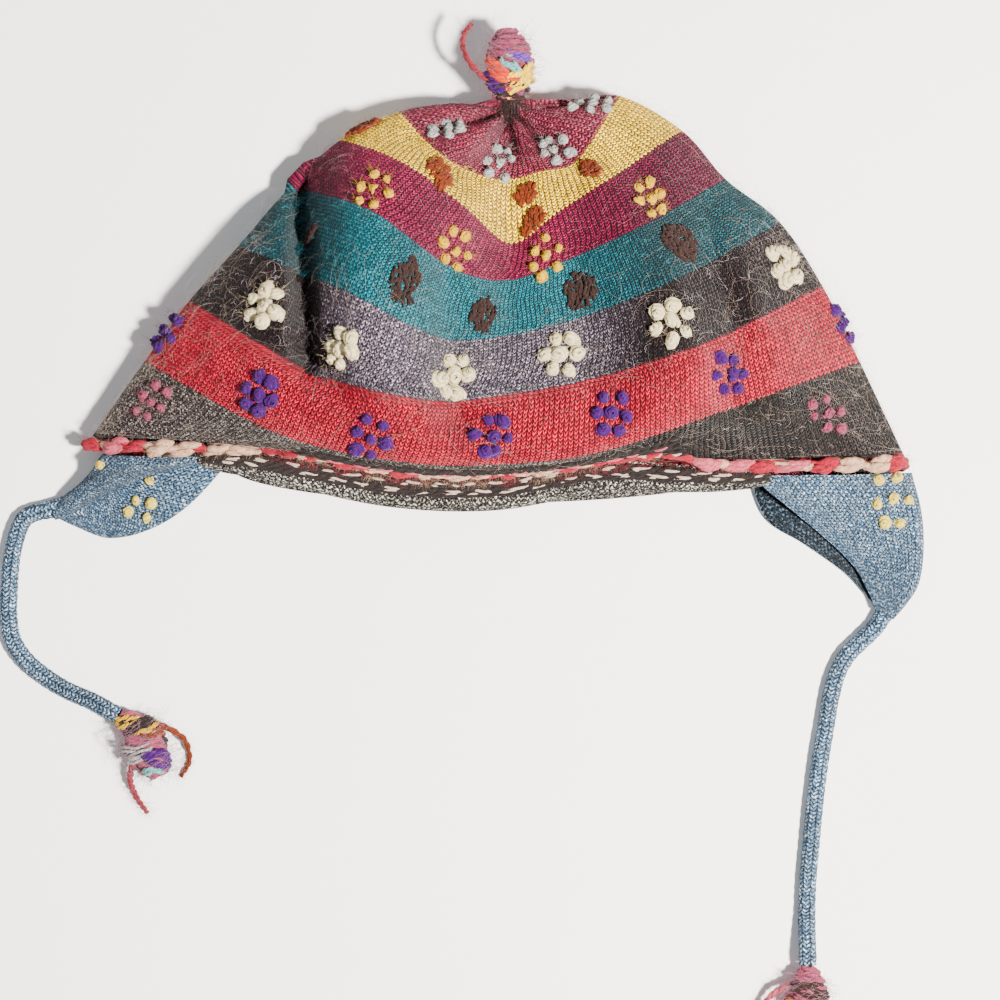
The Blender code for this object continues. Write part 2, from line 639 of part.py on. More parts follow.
def crown_tassel_seat():
    """Where the crown's tassel starts, just off the gathered top, and the way that the top faces."""
    outer, _ = crown_faces()
    top = crown_point(math.pi / 2, 0.0)
    facing = Vector()
    for c in range(CROWN_COLUMNS):
        facing += (outer[0][c] - top).cross(outer[0][c - 1] - top)
    facing.normalize()
    return top + facing * (CLEARANCE + GATHER_ROUGHNESS), facing


def main():
    for old in list(bpy.data.objects):
        bpy.data.objects.remove(old)

    make_crown()
    make_edging()
    make_hem("hem_front", *HEM_FRONT_DEGREES)
    make_hem("hem_back", *HEM_BACK_DEGREES)
    for flap in (LEFT_FLAP, RIGHT_FLAP):
        make_flap(flap)
    make_tassel(CROWN_TASSEL, *crown_tassel_seat())
    for flap, route, tassel in (
        (LEFT_FLAP, LEFT_TIE_ROUTE, LEFT_TASSEL),
        (RIGHT_FLAP, RIGHT_TIE_ROUTE, RIGHT_TASSEL),
    ):
        points = make_tie(flap, route)
        heading = (points[-1] - points[-2]) * Vector((1.0, 1.0, 0.0))
        heading.normalize()
        make_tassel(tassel, points[-1] + heading * CLEARANCE, heading)


main()
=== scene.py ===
# %% [markdown]
# # A hand-knitted chullo, lying on its back
# The real thing is an Andean winter hat: a crown knitted in stripes, flowers embroidered on every stripe, a
# scalloped edging, two folded ear flaps and two knitted ties with tassels. The CAD solids give its form and
# size. This lesson dresses them with stitches, knots, yarn and hair, and each piece is built where its
# solid lies.

# %% The frame
import math

import bpy
import numpy as np
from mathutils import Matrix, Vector


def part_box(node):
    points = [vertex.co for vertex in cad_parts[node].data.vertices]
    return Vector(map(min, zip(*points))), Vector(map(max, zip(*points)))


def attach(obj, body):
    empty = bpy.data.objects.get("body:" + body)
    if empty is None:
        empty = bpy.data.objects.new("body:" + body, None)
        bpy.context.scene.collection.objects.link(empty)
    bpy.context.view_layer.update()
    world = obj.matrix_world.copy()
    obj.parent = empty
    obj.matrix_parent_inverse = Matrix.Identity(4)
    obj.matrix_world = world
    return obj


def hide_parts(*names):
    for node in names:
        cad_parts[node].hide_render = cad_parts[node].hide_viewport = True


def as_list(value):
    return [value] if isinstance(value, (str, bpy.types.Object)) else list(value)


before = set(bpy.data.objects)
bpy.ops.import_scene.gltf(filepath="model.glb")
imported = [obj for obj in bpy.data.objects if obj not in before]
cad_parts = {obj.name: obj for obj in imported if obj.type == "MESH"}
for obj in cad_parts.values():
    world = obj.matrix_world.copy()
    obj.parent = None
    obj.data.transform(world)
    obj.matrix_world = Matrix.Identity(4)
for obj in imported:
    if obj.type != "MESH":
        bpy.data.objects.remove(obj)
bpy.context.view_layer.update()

rng = np.random.default_rng(11)

# %% [markdown]
# ## Sizes
# A cloth model is easiest to reason about in real sizes, so they all stand here in metres. The rim's width
# comes from the CAD crown's own box, and the rest are the named sizes that its solids were made from.

# %% Sizes of the hat
crown_low, crown_high = (np.array(corner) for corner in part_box("crown"))
RIM_WIDTH = crown_high[0] - crown_low[0]
CROWN_DEPTH = 0.1255
PUFF_HEIGHT = 0.061
ORIGIN_SHARE = 0.53
WALL = 0.0024
CLEARANCE = 0.0003
WALE_WIDTH = 0.00176
COURSE_HEIGHT = 0.0014
COURSES = 139
TIE_DIAMETER = 0.0060
print(f"rim {RIM_WIDTH * 1000:.0f} mm wide, crown {COURSES * COURSE_HEIGHT * 1000:.0f} mm deep")

# %% [markdown]
# ## The camera
# The hat is seen from straight above. A long lens, about a metre away, keeps the puffed crown from swelling
# in the picture. Its view is as wide as the hat, and its middle lies below the rim, between the two ties.

# %% The camera
FRAME_WIDTH = 0.3457
CAMERA_HEIGHT = 0.90
SENSOR_WIDTH = 36.0
view_data = bpy.data.cameras.new("view")
view_data.sensor_width = SENSOR_WIDTH
view_data.lens = SENSOR_WIDTH * CAMERA_HEIGHT / FRAME_WIDTH
view_data.clip_end = 10.0
view = bpy.data.objects.new("view", view_data)
view.location = (0.0007, -0.0684, CAMERA_HEIGHT)
bpy.context.scene.collection.objects.link(view)
bpy.context.scene.camera = view
print(f"lens {view_data.lens:.0f} mm")

# %% [markdown]
# ## Helpers
# Everything here is cloth or yarn, so three helpers go far: a curve through a few chosen values, a tube of
# yarn along a path, and a mesh made from arrays, which is quick even for a hundred thousand faces.


# %% A smooth curve through chosen values
def through(knots, values, at):
    """A smooth curve through the values, read at many places. values has a row for each knot."""
    knots, values, at = np.asarray(knots, float), np.asarray(values, float), np.asarray(at, float)
    first = np.clip(np.searchsorted(knots, at, side="right") - 1, 0, len(knots) - 2)
    order = np.arange(len(knots))
    low, high = np.maximum(order - 1, 0), np.minimum(order + 1, len(knots) - 1)
    extra = (1,) * (values.ndim - 1)
    slopes = (values[high] - values[low]) / (knots[high] - knots[low]).reshape(-1, *extra)
    step = (knots[first + 1] - knots[first]).reshape(-1, *extra)
    t = np.clip((at - knots[first]) / (knots[first + 1] - knots[first]), 0, 1).reshape(-1, *extra)
    return (values[first] * (2 * t**3 - 3 * t**2 + 1) + slopes[first] * step * (t**3 - 2 * t**2 + t)
            + values[first + 1] * (3 * t**2 - 2 * t**3) + slopes[first + 1] * step * (t**3 - t**2))


def ease(t):
    """A soft step from 0 to 1."""
    t = np.clip(t, 0, 1)
    return t * t * (3 - 2 * t)


def unit(vectors):
    """The same ways, each one metre long."""
    return vectors / np.maximum(np.linalg.norm(vectors, axis=-1, keepdims=True), 1e-12)


def length_along(line):
    """How far along a line of points each point lies."""
    return np.concatenate([[0.0], np.cumsum(np.linalg.norm(np.diff(line, axis=0), axis=1))])


def read_at(distance, places, field):
    """Points given at distances along a line, read at other places on it."""
    return np.stack([np.interp(places, distance, field[:, k]) for k in range(3)], -1)


print("halfway between 0, 1 and 4:", through((0, 1, 2), (0.0, 1.0, 4.0), [0.5, 1.5]))


# %% A mesh from arrays
def mesh_piece(name, shape, material, lowest=None, second=None, second_from=None):
    """A piece on the hat's body, from its points, its faces and their corners' uv. No point of it lies below
    lowest, and its faces from second_from on are of the second material."""
    points, quads, uv = shape
    points, quads = np.array(points, np.float32), np.asarray(quads, np.int32)
    if lowest is not None:
        points[:, 2] = np.maximum(points[:, 2], lowest)
    mesh = bpy.data.meshes.new(name)
    mesh.vertices.add(len(points))
    mesh.vertices.foreach_set("co", points.ravel())
    mesh.loops.add(quads.size)
    mesh.loops.foreach_set("vertex_index", quads.ravel())
    mesh.polygons.add(len(quads))
    mesh.polygons.foreach_set("loop_start", np.arange(0, quads.size, quads.shape[1], dtype=np.int32))
    mesh.update(calc_edges=True)
    mesh.uv_layers.new(name="knit").data.foreach_set("uv", np.asarray(uv, np.float32).ravel())
    mesh.shade_smooth()
    mesh.materials.append(material)
    if second is not None:
        mesh.materials.append(second)
        mesh.polygons.foreach_set("material_index", (np.arange(len(quads)) >= second_from).astype(np.int32))
    piece = bpy.data.objects.new(name, mesh)
    bpy.context.scene.collection.objects.link(piece)
    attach(piece, "root")
    print(f"{name}: {len(quads) * (quads.shape[1] - 2)} triangles")
    return piece


def grid_quads(rows, columns, closed, start=0):
    """The corners of a grid's faces, row by row, and the grid places of those corners."""
    r, c = np.meshgrid(np.arange(rows - 1), np.arange(columns if closed else columns - 1), indexing="ij")
    r, c = r.ravel(), c.ravel()
    places = np.stack([np.stack([r, c], 1), np.stack([r + 1, c], 1), np.stack([r + 1, c + 1], 1),
                       np.stack([r, c + 1], 1)], 1)
    return start + places[..., 0] * columns + places[..., 1] % columns, places


# %% Tubes of yarn
def tubes(paths, radii, sides, flat=1.0):
    """Round yarn along many paths of equally many points. Its uv is turns round and millimetres along."""
    paths = np.asarray(paths, float)
    count, steps = paths.shape[:2]
    radii = np.broadcast_to(radii, (count, steps))
    tangents = unit(np.gradient(paths, axis=1))
    helper = np.where(np.abs(tangents[:, 0, 2:3]) < 0.9, [[0.0, 0.0, 1.0]], [[1.0, 0.0, 0.0]])
    side = unit(np.cross(tangents[:, 0], helper))
    sides_along = [side]
    for i in range(1, steps):
        side = unit(side - tangents[:, i] * np.sum(side * tangents[:, i], axis=1, keepdims=True))
        sides_along.append(side)
    side = np.stack(sides_along, 1)
    other = np.cross(tangents, side)
    turns = 2 * np.pi * np.arange(sides) / sides
    ring = side[:, :, None] * np.cos(turns)[:, None] + other[:, :, None] * (np.sin(turns)[:, None] * flat)
    points = paths[:, :, None] + ring * radii[:, :, None, None]
    quads, places = grid_quads(steps, sides, closed=True)
    grown = np.cumsum(np.linalg.norm(np.diff(paths, axis=1), axis=2), axis=1)
    length = np.concatenate([np.zeros((count, 1)), grown], axis=1)
    uv = np.empty((count, len(quads), 4, 2))
    uv[..., 0] = places[..., 1] / sides
    uv[..., 1] = (length * 1000)[:, places[..., 0]]
    quads = quads[None] + (np.arange(count) * steps * sides)[:, None, None]
    return points.reshape(-1, 3), quads.reshape(-1, 4), uv.reshape(-1, 2)


def joined(batches):
    """Several results of tubes as one."""
    points, quads, uvs, start = [], [], [], 0
    for batch_points, batch_quads, batch_uv in batches:
        points.append(batch_points)
        quads.append(batch_quads + start)
        uvs.append(batch_uv)
        start += len(batch_points)
    return np.concatenate(points), np.concatenate(quads), np.concatenate(uvs)


trial = tubes(np.zeros((1, 3, 3)) + np.arange(3)[None, :, None] * 0.01, 0.001, 6)
print("a short tube has", len(trial[0]), "points and", len(trial[1]), "faces")

# %% [markdown]
# ## Wool, and how a stitch is drawn
# Plain knitting is columns of V shapes, called wales, in rows called courses. A wale here is 1.76 mm wide
# and a course 1.4 mm high: over forty thousand stitches, too many to model. So a shader draws them as bump,
# with painted shade in the gaps between stitches and painted light on their tops, from two numbers that every
# knitted piece carries in its uv: the wale and the course. Wool has no clear highlight. Its fibres scatter
# light, which a rough surface and some sheen give, and its dye varies from fibre to fibre.


# %% Colours and nodes
def colour(code):
    """An sRGB hex value as linear light."""
    channels = [int(code[i:i + 2], 16) / 255 for i in (1, 3, 5)]
    return (*[c / 12.92 if c <= 0.04045 else ((c + 0.055) / 1.055) ** 2.4 for c in channels], 1.0)


def add(tree, kind, inputs=None, **settings):
    """Adds a shader node with its settings, and links or sets its inputs."""
    made = tree.nodes.new("ShaderNode" + kind)
    for name, value in settings.items():
        setattr(made, name, value)
    for key, value in (inputs or {}).items():
        if isinstance(value, bpy.types.NodeSocket):
            tree.links.new(value, made.inputs[key])
        else:
            made.inputs[key].default_value = value
    return made


def calculator(tree):
    """A function that adds Math nodes to one material's tree."""
    def maths(operation, *values):
        return add(tree, "Math", dict(enumerate(values)), operation=operation).outputs[0]

    return maths


def new_material(name, roughness, sheen, specular=0.10):
    """A rough, matt fibre material, with its shader."""
    material = bpy.data.materials.new(name)
    material.use_nodes = True
    tree = material.node_tree
    shader = tree.nodes["Principled BSDF"]
    shader.inputs["Roughness"].default_value = roughness
    shader.inputs["Specular IOR Level"].default_value = specular
    shader.inputs["Sheen Weight"].default_value = sheen
    shader.inputs["Sheen Roughness"].default_value = 0.45
    return material, tree, shader


print("cream in linear light:", [round(c, 3) for c in colour("#e6ddc0")])


# %% The stitch pattern
def stitches(tree, wrong_side=False):
    """The height of the knitting, each stitch's course and a random number for each half of a stitch."""
    maths = calculator(tree)
    uv = add(tree, "UVMap", uv_map="knit").outputs[0]
    wobble = add(tree, "TexNoise", {"Vector": uv, "Scale": 0.45, "Detail": 2.0}).outputs["Color"]
    moved = add(tree, "VectorMath", {0: wobble, 1: (0.5, 0.5, 0.5)}, operation="SUBTRACT").outputs[0]
    moved = add(tree, "VectorMath", {0: moved, 1: (0.55, 0.75, 0.0)}, operation="MULTIPLY").outputs[0]
    moved = add(tree, "VectorMath", {0: uv, 1: moved}, operation="ADD").outputs[0]
    parts = add(tree, "SeparateXYZ", {0: moved})
    wale, course = parts.outputs[0], parts.outputs[1]
    from_middle = maths("ABSOLUTE", maths("SUBTRACT", maths("FRACT", wale), 0.5))
    slant = 0.0 if wrong_side else 1.35
    leg = maths("ADD", course, maths("MULTIPLY", from_middle, slant))
    if wrong_side:
        arc = maths("MULTIPLY", maths("COSINE", maths("MULTIPLY", wale, 2 * math.pi)), 0.22)
        leg = maths("ADD", leg, arc)
    aside = maths("MULTIPLY", maths("SUBTRACT", from_middle, 0.18), 3.1)
    across = maths("SUBTRACT", 1.0, maths("POWER", aside, 2.0))
    if wrong_side:
        across = maths("ADD", maths("MULTIPLY", across, 0.35), 0.65)
    swell = maths("SINE", maths("MULTIPLY", maths("FRACT", leg), math.pi))
    height = maths("MULTIPLY", maths("MAXIMUM", across, 0.0), maths("POWER", swell, 1.1))
    leg_number = maths("FLOOR", maths("MULTIPLY", wale, 2.0))
    cell = add(tree, "CombineXYZ", {0: leg_number, 1: maths("FLOOR", leg)}).outputs[0]
    chance = add(tree, "TexWhiteNoise", {"Vector": cell}, noise_dimensions="2D").outputs["Value"]
    return height, leg, chance


def fibre(tree, size_mm, detail=3.0, stretch=(1.0, 1.0, 1.0)):
    """Noise with features of a real size."""
    place = add(tree, "TexCoord").outputs["Object"]
    place = add(tree, "Mapping", {"Vector": place, "Scale": stretch}).outputs[0]
    return add(tree, "TexNoise", {"Vector": place, "Scale": 1000 / size_mm, "Detail": detail,
                                  "Roughness": 0.65}).outputs["Fac"]


# How much of the wool's colour is left in the shade between two stitches
GAP_LIGHT = 0.14


def finish_wool(tree, shader, base, height, chance, fleck, fleck_amount, depth_mm):
    """Flecks, stitch-to-stitch variation, painted shade in the gaps and painted light on the tops, and the
    bump.
    """
    maths = calculator(tree)
    hairy = fibre(tree, 0.42)
    specks = add(tree, "MapRange", {"Value": fibre(tree, 0.75, 2.0), "From Min": 0.50,
                                    "From Max": 0.62}).outputs[0]
    mask = maths("MULTIPLY", specks, fleck_amount)
    mixed = add(tree, "Mix", {"Factor": mask, "A": base, "B": fleck}, data_type="RGBA").outputs["Result"]
    tone = maths("ADD", 0.54, maths("MULTIPLY", chance, 0.84))
    between_hairs = maths("ADD", -0.20, maths("MULTIPLY", hairy, 2.40))
    tone = maths("MULTIPLY", tone, maths("MAXIMUM", 0.05, between_hairs))
    # Large soft blotches, tens of millimetres across: partly the wool's own unevenness, partly painted light
    # and shade standing in for the cloth's lumps
    tone = maths("MULTIPLY", tone, maths("ADD", 0.36, maths("MULTIPLY", fibre(tree, 40.0, 2.0), 1.28)))
    # Painted shade and light of each stitch: the colour falls to GAP_LIGHT of itself in the gaps and rises to
    # 1.35 times itself on the tops
    stitch_shade_and_light = add(tree, "MapRange", {"Value": height, "From Min": 0.12, "From Max": 0.80, "To Min": GAP_LIGHT,
                                 "To Max": 1.35}).outputs[0]
    tone = maths("MULTIPLY", tone, stitch_shade_and_light)
    shaded = add(tree, "VectorMath", {0: mixed, "Scale": tone}, operation="SCALE").outputs[0]
    tree.links.new(shaded, shader.inputs["Base Color"])
    rough = maths("ADD", height, maths("MULTIPLY", hairy, 0.55))
    bump = add(tree, "Bump", {"Height": rough, "Strength": 1.0, "Distance": depth_mm / 1000}).outputs[0]
    tree.links.new(bump, shader.inputs["Normal"])


print("stitch pattern ready")

# %% [markdown]
# ## The stripes
# The crown is dyed wool in seven stripes, and dark wool, partly painted shade, draws in the top. Each is a
# row of the table: the share of the knitted length where it ends, its colour, the colour of the odd fibres
# carded into it, how many of those there are, both colours of the ball that was joined on towards the hat's
# right, and 1 where that ball was used on the left as well. That ball is darker partly as yarn and partly as
# painted shade over the right-hand part and the far left of those stripes. The two darkest stripes are undyed
# alpaca blends, whose balls differ most.

# %% The stripes' yarns
STRIPES = (
    # The gathered top's near-black is partly dark wool and partly painted shade of the gathers
    ("gathered", 0.012, "#1c0c0c", "#5a2a30", 0.40, "#1c0c0c", "#5a2a30", 0.0),
    ("rose", 0.196, "#7e1a36", "#cc667e", 0.40, "#7e1a36", "#cc667e", 0.0),
    ("yellow", 0.302, "#ffc400", "#fff260", 0.55, "#ffc400", "#fff260", 0.0),
    ("wine", 0.434, "#7e0638", "#c03868", 0.35, "#5a0028", "#942048", 1.0),
    ("teal", 0.586, "#06606e", "#3eb4c0", 0.32, "#083a44", "#387c84", 1.0),
    ("charcoal", 0.718, "#4c4150", "#d6cad8", 0.55, "#100709", "#523c40", 1.0),
    ("red", 0.841, "#ac0026", "#e62c52", 0.28, "#ac0026", "#e62c52", 0.0),
    ("marl", 1.0, "#342a2a", "#ccbeb6", 0.50, "#0c0605", "#54423c", 0.0),
)
# x, in metres, over which the darker ball takes over on the right and on the left. Its darkening is partly
# yarn and partly painted shade
DARKER_BALL_AND_SHADE_RIGHT = (0.020, 0.050)
DARKER_BALL_AND_SHADE_LEFT = (-0.046, -0.064)


def striped_wool(name, wrong_side):
    """Stockinette in stripes. A stripe's edge follows the stitches, as it does in knitting."""
    material, tree, shader = new_material(name, roughness=0.95, sheen=0.05)
    height, leg, chance = stitches(tree, wrong_side)
    maths = calculator(tree)
    reach = maths("DIVIDE", maths("FLOOR", leg), float(COURSES))
    ramps = []
    for column in range(2, 8):
        ramp = add(tree, "ValToRGB", {"Fac": reach})
        ramp.color_ramp.interpolation = "CONSTANT"
        stops = ramp.color_ramp.elements
        start = 0.0
        for i, stripe in enumerate(STRIPES):
            stop = stops[0] if i == 0 else (stops[1] if i == 1 else stops.new(start))
            stop.position = start
            value = stripe[column]
            stop.color = colour(value) if isinstance(value, str) else (value, value, value, 1.0)
            start = stripe[1]
        ramps.append(ramp.outputs[0])
    # The darker ball's colours take over towards the right, and on the far left where the table says 1. The
    # darkening there is partly yarn and partly painted shade
    place = add(tree, "SeparateXYZ", {0: add(tree, "TexCoord").outputs["Object"]}).outputs[0]
    right, left = (add(tree, "MapRange", {"Value": place, "From Min": first, "From Max": last}).outputs[0]
                   for first, last in (DARKER_BALL_AND_SHADE_RIGHT, DARKER_BALL_AND_SHADE_LEFT))
    ball_and_shade = maths("MAXIMUM", maths("MULTIPLY", left, ramps[5]), right)
    shades = []
    for i in (0, 1):
        mixed = add(tree, "Mix", {"Factor": ball_and_shade, "A": ramps[i], "B": ramps[i + 3]}, data_type="RGBA")
        shades.append(mixed.outputs["Result"])
    finish_wool(tree, shader, shades[0], height, chance, shades[1], ramps[2], depth_mm=0.9)
    return material


stockinette = striped_wool("dyed_wool_stockinette", wrong_side=False)
reverse = striped_wool("dyed_wool_reverse_side", wrong_side=True)
print("stripes:", ", ".join(stripe[0] for stripe in STRIPES))


# %% The other knitted yarns
def plain_knit(name, base, fleck, amount, depth_mm=0.7, wrong_side=False):
    """Knitting in one heathered yarn."""
    material, tree, shader = new_material(name, roughness=0.95, sheen=0.05)
    height, _, chance = stitches(tree, wrong_side)
    finish_wool(tree, shader, colour(base), height, chance, colour(fleck), amount, depth_mm)
    return material


denim_knit = plain_knit("heathered_wool_denim", "#3a5874", "#cfe0ee", 0.60)
# The right flap's inside shows as a dark band. On the real hat it seems to lie in deep shade, deeper than
# this soft light gives, so a darker yarn stands in for the shade.
denim_inside = {
    "left": plain_knit("heathered_wool_denim_inside", "#365470", "#c4d8e8", 0.55, wrong_side=True),
    "right": plain_knit("heathered_wool_denim_inside_painted_shade", "#101a24", "#6c8090", 0.42, wrong_side=True),
}
marl_reverse = plain_knit("marled_alpaca_reverse", "#1b1716", "#c9c1b4", 0.90, depth_mm=1.0, wrong_side=True)
print("knits:", denim_knit.name, denim_inside["left"].name, denim_inside["right"].name, marl_reverse.name)


# %% [markdown]
# ## Loose yarn and hair
# The thick yarns of the knots, the edging and the tassels are loosely spun: their fibres lie side by side
# and wind slowly round. Modelled fibres would take millions of faces, so noise that follows the tube's own
# uv draws them as streaks of colour and bump. The stray hairs are single fibres that are seen one by one,
# and so they are modelled.


# %% Loose yarn
YARN_DEPTH = 0.00035


def soft_yarn(name, base, light):
    """Thick, loosely spun yarn. Its fibres run along it and wind round it once in 14 mm."""
    material, tree, shader = new_material(name, roughness=0.9, sheen=0.08)
    maths = calculator(tree)
    parts = add(tree, "SeparateXYZ", {0: add(tree, "UVMap", uv_map="knit").outputs[0]})
    turn = maths("MULTIPLY", maths("MULTIPLY_ADD", parts.outputs[1], 1 / 14, parts.outputs[0]), 2 * math.pi)
    place = add(tree, "CombineXYZ", {0: maths("COSINE", turn), 1: maths("SINE", turn),
                                     2: maths("MULTIPLY", parts.outputs[1], 0.22)}).outputs[0]
    streaks = add(tree, "TexNoise", {"Vector": place, "Scale": 2.4, "Detail": 4.0,
                                     "Roughness": 0.7}).outputs["Fac"]
    lively = maths("ADD", maths("MULTIPLY", streaks, 0.6), maths("MULTIPLY", fibre(tree, 0.5), 0.4))
    spread = add(tree, "MapRange", {"Value": lively, "From Min": 0.36, "From Max": 0.60}).outputs[0]
    mixed = add(tree, "Mix", {"Factor": spread, "A": colour(base), "B": colour(light)}, data_type="RGBA")
    tree.links.new(mixed.outputs["Result"], shader.inputs["Base Color"])
    bump = add(tree, "Bump", {"Height": lively, "Strength": 1.0, "Distance": YARN_DEPTH}).outputs[0]
    tree.links.new(bump, shader.inputs["Normal"])
    return material


YARNS = {
    "cream": soft_yarn("undyed_cream_wool", "#7f6d48", "#e4d6ac"),
    "purple": soft_yarn("dyed_wool_purple", "#160320", "#440f64"),
    "gold": soft_yarn("dyed_wool_gold", "#6e4c00", "#dcac00"),
    "grey_white": soft_yarn("undyed_grey_wool", "#1e2022", "#b0b0ac"),
    "rust": soft_yarn("dyed_wool_rust", "#341004", "#7c3212"),
    "brown": soft_yarn("undyed_brown_alpaca", "#120a09", "#35221e"),
    "dusty_pink": soft_yarn("dyed_wool_dusty_pink", "#40101e", "#98465e"),
    "pale_yellow": soft_yarn("dyed_wool_pale_yellow", "#84691a", "#e2cd5c"),
    "red": soft_yarn("dyed_wool_coral", "#4c0314", "#a81c32"),
    "warm_cream": soft_yarn("undyed_cream_wool_with_pink", "#7c463c", "#ceaa8c"),
    "black": soft_yarn("undyed_black_alpaca", "#080606", "#2a2322"),
    "pink": soft_yarn("dyed_wool_pink", "#6c1a2c", "#c05a68"),
    "tan_cream": soft_yarn("undyed_tan_wool", "#6c5c50", "#cdb8a6"),
    "faded_red": soft_yarn("dyed_wool_faded_red", "#3c0c14", "#9c3440"),
    "violet": soft_yarn("dyed_wool_violet", "#200a40", "#6c3cb4"),
    "aqua": soft_yarn("dyed_wool_aqua", "#1c5c60", "#74bcb8"),
    "orange_red": soft_yarn("dyed_wool_orange_red", "#841808", "#dc3c1c"),
    "yellow": soft_yarn("dyed_wool_yellow", "#a47c00", "#ffd200"),
}
print(len(YARNS), "yarns")


# %% Stray hairs
def hair(name, shade):
    """Single alpaca hairs: smooth enough to catch a thin line of light."""
    material, tree, shader = new_material(name, roughness=0.55, sheen=0.2, specular=0.5)
    tone = add(tree, "MapRange", {"Value": fibre(tree, 6.0), "To Min": 0.7, "To Max": 1.15}).outputs[0]
    mixed = add(tree, "VectorMath", {0: colour(shade)[:3], "Scale": tone}, operation="SCALE").outputs[0]
    tree.links.new(mixed, shader.inputs["Base Color"])
    return material


pale_hair = hair("pale_alpaca_hair", "#a08a7a")
dark_hair = hair("dark_alpaca_hair", "#1a0e0d")
tassel_hair = hair("mixed_tassel_hair", "#8c6070")
print("hairs:", pale_hair.name, dark_hair.name, tassel_hair.name)

# %% [markdown]
# ## The ties
# Each tie is an I-cord: a narrow knitted tube, about 6 mm thick, that lies loosely on the table and rises
# only where its tassel lifts it. Its route is a handful of points chosen from the way it lies. It is a mesh
# tube and not a bevelled curve, so that its stitches can follow it.

# %% The flaps' corners and the ties' routes
SCALLOP_RADIUS = 0.0029
FLAP_LENGTH = 0.056
TASSEL_RADIUS = 0.0088
TASSEL_SAG = 0.76
TASSEL_LENGTH = 0.026
TASSEL_REST = TASSEL_RADIUS * TASSEL_SAG + CLEARANCE
TIE_RISE_LENGTH = 0.020
TIP_HALF_WIDTH = 0.0026
RIM_CORNERS = {"left": (-RIM_WIDTH / 2, -0.0465), "right": (RIM_WIDTH / 2, -0.0526)}
FLAP_TIPS = {"left": (-0.265, -0.450, 190.0), "right": (-0.100, -0.985, -122.0)}
TIE_ROUTES = {
    "left": (
        (-0.0045, -0.0006), (-0.0096, -0.0030), (-0.0124, -0.0088), (-0.0142, -0.0170), (-0.0150, -0.0270),
        (-0.0152, -0.0370), (-0.0138, -0.0450), (-0.0092, -0.0520), (-0.0020, -0.0580), (0.0064, -0.0630),
        (0.0150, -0.0664), (0.0232, -0.0706),
    ),
    "right": (
        (-0.0026, -0.0042), (-0.0076, -0.0092), (-0.0126, -0.0142), (-0.0160, -0.0205), (-0.0182, -0.0285),
        (-0.0198, -0.0380), (-0.0218, -0.0500), (-0.0236, -0.0640), (-0.0250, -0.0790), (-0.0262, -0.0930),
        (-0.0266, -0.1070), (-0.0266, -0.1200),
    ),
}


def flap_tip(side):
    """Where a flap ends, and the way that it points there."""
    along_x, along_y, turn = FLAP_TIPS[side]
    corner = RIM_CORNERS[side]
    tip = np.array([corner[0] + along_x * FLAP_LENGTH, corner[1] + along_y * FLAP_LENGTH, TIE_DIAMETER / 2])
    return tip, np.array([math.cos(math.radians(turn)), math.sin(math.radians(turn)), 0.0])


print({side: flap_tip(side)[0].round(4).tolist() for side in FLAP_TIPS})


# %% The ties
def tie_path(side, steps):
    """The tie's centre line, from the flap's tip to the middle of its tassel."""
    tip, heading = flap_tip(side)
    knots = [tip + heading * (0.0013 + CLEARANCE)] + [tip + (x, y, 0.0) for x, y in TIE_ROUTES[side]]
    knots = np.array(knots)
    distance = length_along(knots)
    at = np.linspace(0, distance[-1], steps)
    path = through(distance, knots, at)
    risen = ease((at - distance[-1] + TIE_RISE_LENGTH) / TIE_RISE_LENGTH)
    path[:, 2] += (TASSEL_REST - TIE_DIAMETER / 2) * risen
    return path, distance[-1]


TIE_WALES = 7
TIE_SIDES = 20
TIE_STITCHES = (TIE_WALES, 1 / (COURSE_HEIGHT * 1000))
ROOT_LENGTH = 0.015
ROOT_STEPS = 16
ties, tie_ends = {}, {}
for side in ("left", "right"):
    path, length = tie_path(side, 110)
    tie_ends[side] = (path[-1], unit(path[-1] - path[-3]), path, length)
    lumps = 1 + 0.03 * np.sin(np.arange(len(path)) * 1.9) + rng.normal(0, 0.012, len(path))
    points, quads, uv = tubes(path[None], (TIE_DIAMETER / 2 * np.minimum(lumps, 1.03))[None], TIE_SIDES)
    shape = (points, quads, uv * TIE_STITCHES)
    ties[side] = mesh_piece("knitted_tie_" + side, shape, denim_knit, lowest=0.0)
    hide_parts("tie_" + side)
    heading = flap_tip(side)[1]
    root = path[3] - heading * np.linspace(ROOT_LENGTH, 0.0, ROOT_STEPS)[:, None]
    radii = TIE_DIAMETER / 2 * np.linspace(0.80, 0.985, ROOT_STEPS)
    points, quads, uv = tubes(root[None], radii[None], TIE_SIDES)
    broad = 1 + 1.1 * (1 - np.linspace(0, 1, ROOT_STEPS)) ** 1.6
    ring = points.reshape(ROOT_STEPS, TIE_SIDES, 3) - root[:, None]
    ring[..., :2] *= broad[:, None, None]
    shape = ((ring + root[:, None]).reshape(-1, 3), quads, uv * TIE_STITCHES)
    mesh_piece("knitted_tie_root_" + side, shape, denim_knit, lowest=0.0)
    print(f"{side} tie {length * 1000:.0f} mm")

# %% [markdown]
# ## The shape of the crown
# A knitted hat lying on its back keeps some of the roundness of a head: its front wall stands over the back
# wall in soft ridges and hollows, with one hard crease where the left side buckled. The rings below are the
# sections of the CAD crown, from the gathered top to the rim. The dressed surface follows them with far
# more points and adds what cloth has between sections: a sharper crease, gathers round the tassel, and
# small lumps.

# %% The crown's sections
STATIONS = (-1.0, -0.6, -0.25, 0.0, 0.25, 0.6, 1.0)
